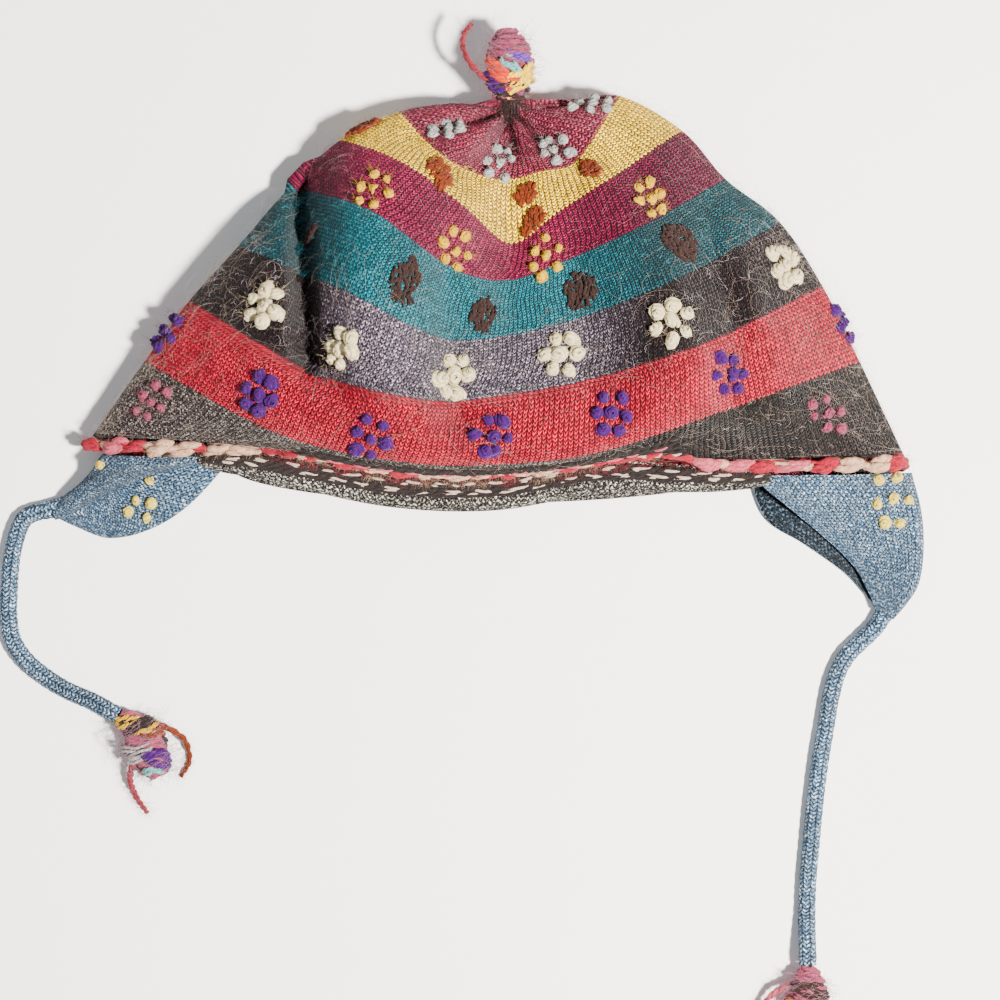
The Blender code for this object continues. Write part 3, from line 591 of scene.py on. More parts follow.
# reach, left, right, drops at the stations, roof heights at the stations, side height, back drop, back height
SECTIONS = (
    (0.0, 0.03, 0.03, (0.019,) * 7, (0.35,) * 7, 0.35, 0.019, 0.35),
    (0.05, -0.025, 0.083, (0.016, 0.057, 0.071, 0.073, 0.071, 0.057, 0.015),
     (0.39, 0.41, 0.39, 0.36, 0.39, 0.41, 0.39), 0.34, 0.006, 0.23),
    (0.12, -0.118, 0.172, (0.004, 0.111, 0.144, 0.149, 0.141, 0.106, 0.002),
     (0.46, 0.49, 0.49, 0.41, 0.47, 0.49, 0.46), 0.28, -0.006, 0.08),
    (0.196, -0.240, 0.294, (0.024, 0.160, 0.209, 0.214, 0.201, 0.171, -0.019),
     (0.56, 0.61, 0.57, 0.48, 0.54, 0.61, 0.56), 0.25, 0.122, 0.0),
    (0.302, -0.385, 0.449, (0.098, 0.190, 0.303, 0.388, 0.314, 0.212, 0.072),
     (0.66, 0.77, 0.67, 0.52, 0.61, 0.74, 0.66), 0.23, 0.271, 0.0),
    (0.434, -0.505, 0.559, (0.216, 0.322, 0.464, 0.490, 0.440, 0.352, 0.204),
     (0.72, 0.90, 0.74, 0.57, 0.67, 0.84, 0.72), 0.21, 0.434, 0.0),
    (0.586, -0.640, 0.694, (0.388, 0.520, 0.646, 0.637, 0.592, 0.494, 0.322),
     (0.79, 1.00, 0.79, 0.62, 0.70, 0.90, 0.77), 0.20, 0.596, 0.0),
    (0.718, -0.760, 0.799, (0.535, 0.736, 0.815, 0.800, 0.760, 0.668, 0.496),
     (0.75, 0.98, 0.84, 0.70, 0.75, 0.90, 0.75), 0.20, 0.745, 0.0),
    (0.841, -0.865, 0.887, (0.690, 0.900, 0.975, 0.978, 0.950, 0.835, 0.690),
     (0.62, 0.80, 0.82, 0.77, 0.77, 0.77, 0.62), 0.19, 0.875, 0.0),
    (1.0, -1.0, 1.0, (0.900, 0.932, 0.995, 1.000, 0.962, 0.967, 0.949),
     (0.46, 0.54, 0.46, 0.43, 0.44, 0.51, 0.46), 0.17, 0.940, 0.0),
)
FLAT_SHARE = 0.78
# name, from x and y, to x and y, depth and half width: first the dents of the CAD, and then what only cloth
# this fine shows
DENTS = (
    ("left_crease", -0.470, 0.20, -0.405, 0.72, 0.22, 0.038),
    ("right_hollow", 0.19, 0.40, 0.26, 0.72, 0.07, 0.040),
    ("top_dimple", 0.03, 0.03, 0.05, 0.09, 0.10, 0.030),
    ("crease_line", -0.490, 0.22, -0.452, 0.72, 0.27, 0.013),
    ("crease_foot", -0.452, 0.70, -0.330, 0.86, 0.06, 0.018),
    ("right_side_hollow", 0.50, 0.42, 0.60, 0.70, 0.06, 0.022),
    ("shoulder_hollow", 0.30, 0.16, 0.42, 0.34, 0.05, 0.020),
    ("front_buckle", -0.10, 0.84, 0.02, 0.93, 0.035, 0.022),
    ("middle_valley", -0.12, 0.50, -0.10, 0.86, 0.055, 0.026),
    ("right_valley", 0.50, 0.34, 0.56, 0.80, 0.075, 0.028),
    ("right_buckle", 0.22, 0.86, 0.36, 0.93, 0.035, 0.020),
)
PLEAT_DEPTH = 0.0046
PLEAT_COUNT = 9
BACK_LIFT = 0.0008


def ring_points(section, angles):
    """One section of the crown. Angle 0 is the right fold, a quarter turn the front's middle."""
    _, left, right, drops, roofs, side, back_drop, back_height = section
    share = np.cos(angles)
    across = (share + 1) / 2
    front = np.sin(angles) >= 0
    roof = through(STATIONS, roofs, share)
    front_height = side + (roof - side) * np.sqrt(1 - np.abs(share) ** 3)
    side_drop = drops[0] + (drops[-1] - drops[0]) * across
    back_line = side_drop + (back_drop - side_drop) * (1 - np.abs(share) ** 2.2)
    turn = np.maximum(0, (np.abs(share) - FLAT_SHARE) / (1 - FLAT_SHARE))
    back_rise = back_height + (side - back_height) * (1 - np.sqrt(np.maximum(0, 1 - turn**2)))
    drop = np.where(front, through(STATIONS, drops, share), back_line)
    height = np.where(front, front_height, back_rise)
    x = (left + (right - left) * across) * RIM_WIDTH / 2
    return np.stack([x, (ORIGIN_SHARE - drop) * CROWN_DEPTH, height * PUFF_HEIGHT], 1)


print(len(SECTIONS), "sections and", len(DENTS), "dents")


# %% The crown's surface
def dents_at(x, y):
    """How far the dents push the front wall down."""
    total = np.zeros_like(x)
    for _, x0, y0, x1, y1, depth, half_width in DENTS:
        start = np.array([x0 * RIM_WIDTH / 2, (ORIGIN_SHARE - y0) * CROWN_DEPTH])
        line = np.array([x1 * RIM_WIDTH / 2, (ORIGIN_SHARE - y1) * CROWN_DEPTH]) - start
        t = np.clip(((x - start[0]) * line[0] + (y - start[1]) * line[1]) / (line @ line), 0, 1)
        away = np.hypot(x - start[0] - line[0] * t, y - start[1] - line[1] * t)
        total += depth * PUFF_HEIGHT * np.exp(-((away / (half_width * RIM_WIDTH)) ** 2))
    return total


def lumps_at(points, size, seed):
    """Smooth random lumps about as wide as size, between -1 and 1."""
    turns = np.random.default_rng(seed)
    total = np.zeros(points.shape[:-1])
    for _ in range(14):
        wave = turns.normal(0, 1, 3)
        wave *= 2 * np.pi / size * turns.uniform(0.6, 1.3) / np.linalg.norm(wave)
        total += np.sin(points @ wave + turns.uniform(0, 2 * np.pi))
    return total / 14


def crown_grid(angles, reaches):
    """The crown's outer surface as rows of points, from near the top to the rim."""
    rings = np.stack([ring_points(section, angles) for section in SECTIONS])
    grid = through([section[0] for section in SECTIONS], rings, reaches)
    reach = np.asarray(reaches)[:, None]
    up = np.sqrt(np.maximum(0, np.sin(angles)))[None]
    fade = ease(reach / 0.025) * (1 - ease((reach - 0.12) / 0.16))
    turn = angles + 0.10 * np.sin(2 * angles) + 0.06 * np.sin(5 * angles + 1)
    folds = (2 * np.abs(np.cos(PLEAT_COUNT / 2 * turn)) - 1) * (0.75 + 0.25 * np.sin(3 * angles + 1))
    grid[..., 2] += (PLEAT_DEPTH * fade * folds - dents_at(grid[..., 0], grid[..., 1])) * up
    cloth = 0.0016 * lumps_at(grid, 0.034, 3) + 0.0010 * lumps_at(grid, 0.014, 4)
    grid[..., 2] += cloth * up
    grid[..., 2] = np.maximum(grid[..., 2], BACK_LIFT)
    return grid


def grid_normals(grid, closed=True):
    """The way out of a surface whose rows go round and whose columns go down."""
    down = np.gradient(grid, axis=0)
    if closed:
        ahead = np.roll(grid, -1, axis=1) - np.roll(grid, 1, axis=1)
    else:
        ahead = np.gradient(grid, axis=1)
    return unit(np.cross(ahead, down))


COLUMNS = 400
ROWS = 130
angles = 2 * np.pi * np.arange(COLUMNS) / COLUMNS
reaches = np.linspace(0.0005, 1.0, ROWS)
surface = crown_grid(angles, reaches)
outward = grid_normals(surface)
print("crown surface", surface.shape, "highest point", round(float(surface[..., 2].max()) * 1000, 1), "mm")

# %% [markdown]
# The knitter narrows the crown by dropping wales, and does so mostly where the colour changes. So each zone
# has its own whole number of wales, and within a zone the wales spread evenly along the ring.

# %% The crown, knitted
ZONES = (0.008, 0.016, 0.026, 0.040, 0.060, 0.085, 0.12, 0.196, 0.302, 0.434, 1.0)
zone_of_row = np.searchsorted(ZONES, reaches[:-1] + 1e-6)
ring_steps = np.linalg.norm(np.roll(surface, -1, axis=1) - surface, axis=2)
ring_length = ring_steps.sum(axis=1)
around = np.concatenate([np.zeros((ROWS, 1)), np.cumsum(ring_steps, axis=1)], axis=1) / ring_length[:, None]
BODY_WALES = 300
GATHERED_SHARE = 0.82
wales = []
for i in range(len(ZONES) - 1):
    last_row = np.where(zone_of_row == i)[0][-1]
    wales.append(round(float(ring_length[last_row]) * GATHERED_SHARE / WALE_WIDTH))
wales.append(BODY_WALES)
quads, places = grid_quads(ROWS, COLUMNS, closed=True)
face_wales = np.array(wales)[zone_of_row[places[:, 0, 0]]]
uv = np.empty((len(quads), 4, 2))
uv[..., 0] = around[places[..., 0], places[..., 1]] * face_wales[:, None]
uv[..., 1] = reaches[places[..., 0]] * COURSES
INNER_ROWS = 24
inner_rows = np.linspace(0, ROWS - 1, INNER_ROWS).round().astype(int)
inner = (surface - outward * WALL)[inner_rows]
inner_quads, inner_places = grid_quads(len(inner_rows), COLUMNS, closed=True, start=surface[..., 0].size)
inner_uv = np.empty((len(inner_quads), 4, 2))
inner_uv[..., 0] = around[inner_rows][inner_places[..., 0], inner_places[..., 1]] * BODY_WALES
inner_uv[..., 1] = reaches[inner_rows][inner_places[..., 0]] * COURSES
rim_start, inner_start = (ROWS - 1) * COLUMNS, surface[..., 0].size + (len(inner_rows) - 1) * COLUMNS
c = np.arange(COLUMNS)
following = (c + 1) % COLUMNS
rim_quads = np.stack([rim_start + c, inner_start + c, inner_start + following, rim_start + following], 1)
rim_uv = np.zeros((COLUMNS, 4, 2)) + (0, COURSES - 0.5)
rim_uv[..., 0] = np.stack([c, c, c + 1, c + 1], 1) * BODY_WALES / COLUMNS
shape = (
    np.concatenate([surface.reshape(-1, 3), inner.reshape(-1, 3)]),
    np.concatenate([quads[:, ::-1], rim_quads[:, ::-1], inner_quads]),
    np.concatenate([uv[:, ::-1], rim_uv[:, ::-1], inner_uv]),
)
crown = mesh_piece("striped_crown", shape, stockinette, second=reverse,
                   second_from=len(quads) + len(rim_quads))
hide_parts("crown")
print("wales in each zone:", wales)


# %% Reading the surface anywhere
def on_crown(angle, reach):
    """Points on the crown, and the ways out, along the ring and down towards the rim."""
    column = (np.asarray(angle) / (2 * np.pi) * COLUMNS) % COLUMNS
    row = np.clip((np.asarray(reach) - reaches[0]) / (reaches[-1] - reaches[0]), 0, 1) * (ROWS - 1)
    c0, r0 = np.floor(column).astype(int), np.minimum(np.floor(row).astype(int), ROWS - 2)
    s, t = (column - c0)[..., None], (row - r0)[..., None]
    c1 = (c0 + 1) % COLUMNS
    c0 = c0 % COLUMNS
    a, b, d, e = surface[r0, c0], surface[r0, c1], surface[r0 + 1, c0], surface[r0 + 1, c1]
    point = (a * (1 - s) + b * s) * (1 - t) + (d * (1 - s) + e * s) * t
    out = unit(outward[r0, c0] * (1 - s) + outward[r0, c1] * s)
    ahead = unit((b - a) * (1 - t) + (e - d) * t)
    down = unit(np.cross(out, ahead))
    down = down * np.sign(np.sum(down * (d - a), axis=-1, keepdims=True))
    return point, out, ahead, down


print("front middle of the red stripe:", on_crown(math.pi / 2, 0.78)[0].round(4).tolist())

# %% [markdown]
# ## The embroidered flowers
# Most flowers are a ring of fat French knots round one in the middle: thick yarn wound twice round the
# needle and pulled down. A coil of tube, a little lopsided, gives the same bump and the same groove between
# its turns, and numpy can place hundreds of copies at once. The brown and the rust ones are sewn flat, in
# short strokes that have felted together. Table: yarn, the reach of the row, the degrees round the crown of
# the flowers in front, how many more are spread over the hidden back, the flower's radius, the knot's
# radius and the yarn's radius.

# %% Where the flowers are
FLOWERS = (
    ("grey_white", 0.155, (140, 97, 56, 22), 3, 0.0054, 0.0014, 0.00074),
    ("gold", 0.39, (130, 105, 80, 48), 5, 0.0054, 0.0013, 0.00072),
    ("cream", 0.66, (142, 122, 100, 80, 58, 24), 6, 0.0053, 0.0020, 0.00100),
    ("purple", 0.785, (172, 134, 112, 92, 72, 50, 4), 6, 0.0054, 0.0017, 0.00084),
    ("dusty_pink", 0.91, (156, 32), 7, 0.0054, 0.0013, 0.00070),
)
# yarn, and then for each patch its degrees, reach, half width, half height and lean in degrees
PATCHES = (
    ("rust", ((118, 0.262, 0.0030, 0.0072, 50), (83, 0.232, 0.0042, 0.0030, 0),
              (82, 0.285, 0.0048, 0.0034, 0), (56, 0.250, 0.0026, 0.0056, -20),
              (166, 0.265, 0.0034, 0.0058, 0))),
    ("brown", ((142, 0.520, 0.0034, 0.0072, 0), (114, 0.515, 0.0048, 0.0078, -8),
               (96, 0.530, 0.0046, 0.0052, 0), (74, 0.525, 0.0056, 0.0056, 0),
               (48, 0.515, 0.0064, 0.0064, 0))),
)
PATCHES_BEHIND = 3
PETALS = 6
KNOT_STEPS = 26
wound = np.linspace(0, 1, KNOT_STEPS)
COIL = np.stack([
    np.cos(wound * 2 * np.pi * 2.5) * (1.0 - 0.82 * wound),
    np.sin(wound * 2 * np.pi * 2.5) * (1.0 - 0.82 * wound),
    -0.5 + 1.9 * wound,
], 1)
COIL_SWELL = 0.6 + 0.4 * np.sin(np.pi * np.clip(wound * 1.12, 0, 1)) ** 0.5
print("a knot has", KNOT_STEPS, "points along its yarn")


# %% Sewing the knots
def knots_at(middles, outs, firsts, knot_radius, yarn_radius):
    """French knots as coils of yarn, each turned, tipped and stretched a little its own way."""
    count = len(middles)
    outs = unit(outs + rng.normal(0, 0.26, (count, 3)))
    firsts = unit(firsts - outs * np.sum(firsts * outs, axis=1, keepdims=True))
    seconds = np.cross(outs, firsts)
    turn = rng.uniform(0, 2 * np.pi, count)[:, None]
    x_way = firsts * np.cos(turn) + seconds * np.sin(turn)
    y_way = np.cross(outs, x_way)
    size = rng.uniform(0.82, 1.18, (count, 1))
    long = rng.uniform(1.0, 1.5, (count, 1))
    paths = (middles[:, None] + x_way[:, None] * (COIL[None, :, :1] * (knot_radius * size * long)[:, None])
             + y_way[:, None] * (COIL[None, :, 1:2] * (knot_radius * size)[:, None])
             + outs[:, None] * (COIL[None, :, 2:] * (knot_radius * 0.8 * size)[:, None] + yarn_radius * 0.45))
    paths = paths + rng.normal(0, 0.00014, paths.shape)
    radii = yarn_radius * COIL_SWELL[None] * size * rng.uniform(0.9, 1.1, (count, KNOT_STEPS))
    points, quads, uv = tubes(paths, radii, 7)
    points = points + rng.normal(0, yarn_radius * 0.06, points.shape)
    points[:, 2] = np.maximum(points[:, 2], 0.00005)
    return points, quads, uv


def fluff(middles, outs, firsts, radius, each):
    """Short fibres that stand out of a knot all round, as thin tubes."""
    count, steps = len(middles) * each, 3
    middles, outs, firsts = (np.repeat(field, each, axis=0) for field in (middles, outs, firsts))
    way = unit(outs * rng.uniform(0.1, 1.0, (count, 1)) + rng.normal(0, 0.6, (count, 3)))
    bend = unit(rng.normal(0, 1, (count, 3)))
    grow = np.linspace(0, 1, steps)
    length = rng.uniform(0.0008, 0.0026, (count, 1))
    roots = middles + outs * radius * 0.5 + way * radius * 0.8
    paths = (roots[:, None] + way[:, None] * (grow[None] * length)[..., None]
             + bend[:, None] * ((grow**2)[None] * length * 0.5)[..., None])
    paths[..., 2] = np.maximum(paths[..., 2], 0.0001)
    return tubes(paths, 0.00004 * np.sqrt(np.linspace(1, 0.15, steps))[None], 3)


def local_places(angle, reach, local):
    """Places on the crown at small distances, along and down, from one place."""
    middle = on_crown(angle, reach)[0]
    near = np.linalg.norm(on_crown(angle + 0.01, reach)[0] - middle) / 0.01
    steep = np.linalg.norm(on_crown(angle, reach + 0.01)[0] - middle) / 0.01
    return on_crown(angle + local[:, 0] / max(near, 0.02), reach + local[:, 1] / max(steep, 0.1))


def flower_ring(radius):
    """The knots of one flower, from its middle: two above, three across and two below."""
    turns = np.pi / 3 * np.arange(PETALS) + rng.normal(0, 0.10, PETALS) + rng.normal(0, 0.12)
    far = radius * rng.uniform(0.88, 1.12, PETALS)
    ring = np.stack([far * np.cos(turns) * 0.95, far * np.sin(turns) * 1.12], 1)
    return np.concatenate([rng.normal(0, 0.0004, (1, 2)), ring])


def all_round(front, hidden):
    """The angles of a row: those chosen in front, and hidden ones spread over the back."""
    return [math.radians(degrees) for degrees in front] + [
        math.pi * (1 + (i + 0.7) / (hidden + 0.4)) for i in range(hidden)]


FLUFF_EACH = 14
for yarn, reach, front, hidden, flower_radius, knot_radius, yarn_radius in FLOWERS:
    batches, fibres = [], []
    for angle in all_round(front, hidden):
        level = reach + rng.normal(0, 0.006)
        middles, outs, aheads, _ = local_places(angle, level, flower_ring(flower_radius))
        batches.append(knots_at(middles, outs, aheads, knot_radius, yarn_radius))
        fibres.append(fluff(middles, outs, aheads, knot_radius + yarn_radius, FLUFF_EACH))
    mesh_piece("flowers_" + yarn, joined(batches), YARNS[yarn])
    mesh_piece("fluff_" + yarn, joined(fibres), YARNS[yarn])

# %% The flat patches
STROKE_STEPS = 6
bar = np.linspace(-1, 1, STROKE_STEPS)
for yarn, rows in PATCHES:
    batches = []
    behind = [(math.degrees(angle), rows[0][1], 0.0046, 0.0062, 0) for angle in all_round((), PATCHES_BEHIND)]
    for degrees, reach, half_width, half_height, lean in (*rows, *behind):
        angle, tilt = math.radians(degrees), math.radians(lean)
        turned = np.array([[math.cos(tilt), math.sin(tilt)], [-math.sin(tilt), math.cos(tilt)]])
        loose = rng.normal(0, 0.55, (40, 2)) * (half_width, half_height)
        spots, outs, aheads, _ = local_places(angle, reach, loose @ turned)
        batches.append(fluff(spots, outs, aheads, 0.0004, 3))
        count = int(2.3e6 * half_width * half_height) + 30
        far, turn = np.sqrt(rng.uniform(0, 1, count)), rng.uniform(0, 2 * np.pi, count)
        ragged = 1 + 0.07 * np.sin(3 * turn + degrees) + 0.07 * np.sin(5 * turn + 2 * degrees)
        starts = np.stack([np.cos(turn) * half_width, np.sin(turn) * half_height], 1)
        starts = (starts * (far * ragged)[:, None]) @ turned
        slant = rng.normal(0, 0.60, count)
        reach_out = rng.uniform(0.0008, 0.0019, count)
        local = starts[:, None] + bar[None, :, None] * (
            np.stack([np.sin(slant), np.cos(slant)], 1) * reach_out[:, None])[:, None]
        spots, outs, _, _ = local_places(angle, reach, local.reshape(-1, 2))
        rise = (1 - bar[None] ** 2) * rng.uniform(0.0004, 0.0011, (count, 1)) + 0.0001
        paths = spots.reshape(count, STROKE_STEPS, 3) + outs.reshape(count, STROKE_STEPS, 3) * rise[..., None]
        batches.append(tubes(paths, 0.00055 * np.sqrt(np.maximum(0.06, 1 - bar**2))[None], 5))
    mesh_piece("patches_" + yarn, joined(batches), YARNS[yarn], lowest=0.00005)

# %% [markdown]
# ## The edging
# Round the rim runs an edging in red and cream: two fat yarns that twist about each other, so that now one
# and now the other comes up as a plump slanting bead. Two helices build it, and each swells where it is on
# top. At the front, where the hem turns up, it is pulled thin.


# %% The rim and what lies beyond it
def rim_line(at):
    """The edging's centre line at any angles, and the ways outward and square up from it."""
    at = np.asarray(at, float)
    point, out, _, down = on_crown(at, np.ones_like(at))
    ahead = unit(on_crown(at + 0.01, np.ones_like(at))[0] - on_crown(at - 0.01, np.ones_like(at))[0])
    onward = unit(down - ahead * np.sum(down * ahead, axis=-1, keepdims=True))
    middle = point - out * (WALL / 2) + onward * (SCALLOP_RADIUS + CLEARANCE)
    return middle, onward, unit(np.cross(onward, ahead))


around_rim = np.linspace(0, 2 * np.pi, 1201)
rim_distance = length_along(rim_line(around_rim)[0])
RIM_LENGTH = rim_distance[-1]
print(f"the rim is {RIM_LENGTH * 1000:.0f} mm round")


# %% The twisted edging
def turned_up(angle):
    """How far the front hem has turned up over the rim: from 0 at the flaps to 1 along the front."""
    return ease((angle - math.radians(58)) / 0.20) * (1 - ease((angle - math.radians(119)) / 0.14))


def trim_line(at):
    """The edging's line. Where the hem turns up it lies on the crown's wall, above the rim."""
    at = np.asarray(at, float)
    share = turned_up(at)[:, None]
    middle, onward, up = rim_line(at)
    up = up * np.sign(np.sum(up * on_crown(at, np.ones_like(at))[1], axis=1, keepdims=True))
    spot, out, _, down = on_crown(at, np.full_like(at, 0.925))
    return (middle * (1 - share) + (spot + out * 0.0010) * share, unit(onward * (1 - share) + down * share),
            unit(up * (1 - share) + out * share))


STRAND_RADIUS = 0.00115
TWIST_PITCH = 0.0240
steps = int(RIM_LENGTH / 0.0006)
at = np.linspace(0, RIM_LENGTH, steps)
angle = np.interp(at, rim_distance, around_rim)
middle, onward, up = trim_line(angle)
middle = middle + onward * (0.0007 * lumps_at(middle, 0.014, 40))[:, None]
full = 1 - 0.50 * turned_up(angle)
uneven = 0.9 * np.sin(at / 0.047 * 2 * np.pi + 1.0) + 0.6 * np.sin(at / 0.031 * 2 * np.pi)
uneven *= np.sin(np.pi * at / RIM_LENGTH)
for number, yarn in enumerate(("red", "warm_cream")):
    phase = np.round(RIM_LENGTH / TWIST_PITCH) * at / RIM_LENGTH * 2 * np.pi + np.pi * number + uneven
    over = np.sin(phase)
    plump = 0.85 + 0.40 * over + 0.80 * lumps_at(middle, 0.0042, 30 + number)
    wave = onward * (0.65 * np.cos(phase))[:, None] + up * over[:, None]
    winding = middle + wave * (STRAND_RADIUS * 0.85 * full)[:, None]
    points, quads, uv = tubes(winding[None], (STRAND_RADIUS * full * plump)[None], 8)
    points = points + (0.0009 * lumps_at(points, 0.0018, 50 + number))[:, None] * (0.5, 0.5, 0.7)
    shape = (points, quads, uv)
    strand = mesh_piece("edging_strand_" + yarn, shape, YARNS[yarn], lowest=0.0001)
    if number == 0:
        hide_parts("edging")
    every = slice(number, None, 2)
    fibres = fluff(winding[every], up[every], onward[every], STRAND_RADIUS * 0.9, 4)
    mesh_piece("edging_fluff_" + yarn, fibres, YARNS[yarn])

# The slubs: short fat lengths of the same yarns that bulge out between the stitches
SLUB_GAP, SLUB_PLIES = 0.0096, 3
slub_count = int(RIM_LENGTH / SLUB_GAP)
spots = (np.arange(slub_count) + 0.5) * RIM_LENGTH / slub_count + rng.normal(0, 0.0011, slub_count)
share = np.linspace(-1, 1, 11)
small = np.interp(spots, at, full)
half = rng.uniform(0.0044, 0.0068, slub_count) * (0.3 + 0.7 * small)
places = (spots[:, None] + share[None] * half[:, None]) % RIM_LENGTH
line, beside, above = (read_at(at, places, field) for field in (middle, onward, up))
thick = rng.uniform(0.0018, 0.0029, slub_count) * small
swell = thick[:, None] * np.maximum(0.05, 1 - share[None] ** 2) ** 0.55
lean = rng.normal(0.9, 0.25, (slub_count, 1)) * small[:, None]
line = line + beside * (share[None] * lean * 0.0013)[..., None] + above * (0.5 * swell)[..., None]
chosen = rng.choice(3, slub_count, p=(0.52, 0.32, 0.16))
for number, yarn in enumerate(("red", "warm_cream", "pink")):
    picked = np.where(chosen == number)[0]
    batches = []
    for ply in range(SLUB_PLIES):
        turn = 2 * np.pi * ply / SLUB_PLIES + 1.5 * share[None] + rng.uniform(0, 2, (len(picked), 1))
        way = beside[picked] * np.cos(turn)[..., None] + above[picked] * np.sin(turn)[..., None]
        path = line[picked] + way * (0.50 * swell[picked])[..., None]
        path = path + rng.normal(0, 0.00016, path.shape)
        path[..., 2] = np.maximum(path[..., 2], 0.0008)
        batches.append(tubes(path, swell[picked] * 0.60, 7))
    roots = line[picked][:, 1:-1].reshape(-1, 3)
    outs, firsts = (field[picked][:, 1:-1].reshape(-1, 3) for field in (above, beside))
    batches.append(fluff(roots, outs, firsts, 0.0019, 7))
    mesh_piece("edging_slubs_" + yarn, joined(batches), YARNS[yarn], lowest=0.0001)

# %% [markdown]
# ## The hem
# Between the flaps the marled fabric goes on past the edging and rolls up, as stockinette does when nothing
# holds it, so its wrong side shows: rows of little arcs in black and grey. Above the roll run two rows of
# long cream stitches on black, where two yarns were crossed, and the odd pink one.

# %% The rolled hem
HEM_WIDTH = 0.0105
HEM_FLARE = 0.40
SIDE_FAN = 0.45
HEM_SIDES = 18
LOWEST_MIDDLE = 0.0013


def below_edging(at, distance):
    """Points past the edging, where the hem and the flaps go on."""
    at = np.asarray(at, float)
    way = np.stack([SIDE_FAN * np.cos(at), -np.ones_like(at), -HEM_FLARE * np.maximum(0, np.sin(at))], -1)
    middle = rim_line(at)[0]
    point = middle + unit(way) * (SCALLOP_RADIUS + CLEARANCE + np.asarray(distance))[..., None]
    point[..., 2] = np.maximum(point[..., 2], LOWEST_MIDDLE)
    return point, unit(way)


def hem(name, start, end, thick, node):
    """A strip of rolled fabric from one flap to the other, with its stitches along it."""
    count = 170
    at = np.radians(np.linspace(start, end, count))
    taper = 0.10 + 0.90 * np.sin(np.pi * np.linspace(0, 1, count)) ** 0.55
    half = HEM_WIDTH * taper / 2
    middle, way = below_edging(at, half)
    ahead = unit(np.gradient(middle, axis=0))
    up = unit(np.cross(way, ahead))
    up = up * np.sign(up[:, 2:])
    turns = 2 * np.pi * np.arange(HEM_SIDES) / HEM_SIDES
    wide, high = np.cos(turns), np.sin(turns)
    bulge = thick / 2 * (1 + 0.25 * wide)
    squared = np.sign(wide) * np.abs(wide) ** 0.8
    ring = (way[:, None] * squared[None, :, None] * (half + 0.0012)[:, None, None]
            + up[:, None] * (high * bulge)[None, :, None])
    points = middle[:, None] + ring
    points += 0.0004 * lumps_at(points, 0.012, 9)[..., None] * up[:, None]
    points[..., 2] = np.maximum(points[..., 2], 0.0002)
    quads, places = grid_quads(count, HEM_SIDES, closed=True)
    along = length_along(middle)
    uv = np.empty((len(quads), 4, 2))
    uv[..., 0] = along[places[..., 0]] / WALE_WIDTH
    uv[..., 1] = places[..., 1] * 22 / HEM_SIDES
    piece = mesh_piece(name, (points.reshape(-1, 3), quads, uv), marl_reverse)
    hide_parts(node)
    return at, middle, way, up, half


front_hem = hem("rolled_hem_front", 49.0, 136.0, 0.0046, "hem_front")
hem("rolled_hem_back", 230.0, 306.0, 0.0024, "hem_back")


# %% The crossed stitches
def strokes(line, up, way, pitch, half_length, radius, slant, start=0.0, keep=1.0):
    """Short fat stitches along a line, each a little out of true: paths and radii."""
    distance = length_along(line)
    spots = np.arange(pitch * (0.5 + start), distance[-1] - pitch / 2, pitch)
    spots = spots + rng.normal(0, pitch * 0.10, len(spots))
    spots = spots[rng.uniform(0, 1, len(spots)) < keep]
    share = np.linspace(-1, 1, 7)
    half = half_length * rng.uniform(0.75, 1.2, len(spots))
    places = spots[:, None] + share[None] * half[:, None]
    pick = [read_at(distance, places, field) for field in (line, up, way)]
    tilt = slant + rng.normal(0, 0.07, (len(spots), 1))
    paths = (pick[0] + pick[2] * (share[None] * tilt * half[:, None])[..., None]
             + pick[1] * ((1 - share[None] ** 2) * radius * 0.8)[..., None])
    return paths, radius * np.sqrt(np.maximum(0.05, 1 - np.abs(share) ** 2.6))[None] * rng.uniform(
        0.8, 1.15, (len(spots), 1))


at, middle, way, up, half = front_hem
black_batches, cream_batches, pink_batches = [], [], []
for share, start in ((0.02, 0.0), (0.14, 0.5), (0.26, 0.2), (0.38, 0.7), (0.48, 0.4)):
    line = middle + way * (half * (share * 2 - 1))[:, None] + up * 0.0017
    black_batches.append(tubes(*strokes(line, up, way, 0.0034, 0.0030, 0.00085, 0.12, start), 5))
for share, start, slant, half_length, radius, keep in (
        (0.05, 0.0, 0.05, 0.0036, 0.00050, 0.9), (0.13, 0.15, -0.05, 0.0032, 0.00040, 0.8),
        (0.32, 0.5, -0.04, 0.0036, 0.00050, 0.9), (0.40, 0.65, 0.05, 0.0032, 0.00040, 0.8)):
    line = middle + way * (half * (share * 2 - 1))[:, None] + up * 0.0024
    cream_batches.append(tubes(*strokes(line, up, way, 0.0098, half_length, radius, slant, start, keep), 6))

# What shows at the front of the rows above the edging
front_only = np.radians(np.linspace(62, 122, 300))
for reach, start in ((0.872, 0.0), (0.892, 0.5), (0.912, 0.2), (0.945, 0.7), (0.965, 0.4)):
    above, out, _, down = on_crown(front_only, np.full(300, reach))
    black_batches.append(tubes(*strokes(above, out, down, 0.0034, 0.0028, 0.00080, 0.15, start), 5))
for reach, start, batches in ((0.898, 0.3, pink_batches), (0.956, 0.0, cream_batches)):
    above, out, _, down = on_crown(front_only, np.full(300, reach))
    above = above + out * 0.0008
    batches.append(tubes(*strokes(above, out, down, 0.0092, 0.0034, 0.00048, 0.05, start, 0.8), 6))
for name, batches, yarn in (("black", black_batches, "black"), ("cream", cream_batches, "tan_cream"),
                            ("pink", pink_batches, "pink")):
    mesh_piece("crossed_stitches_" + name, joined(batches), YARNS[yarn], lowest=0.0001)

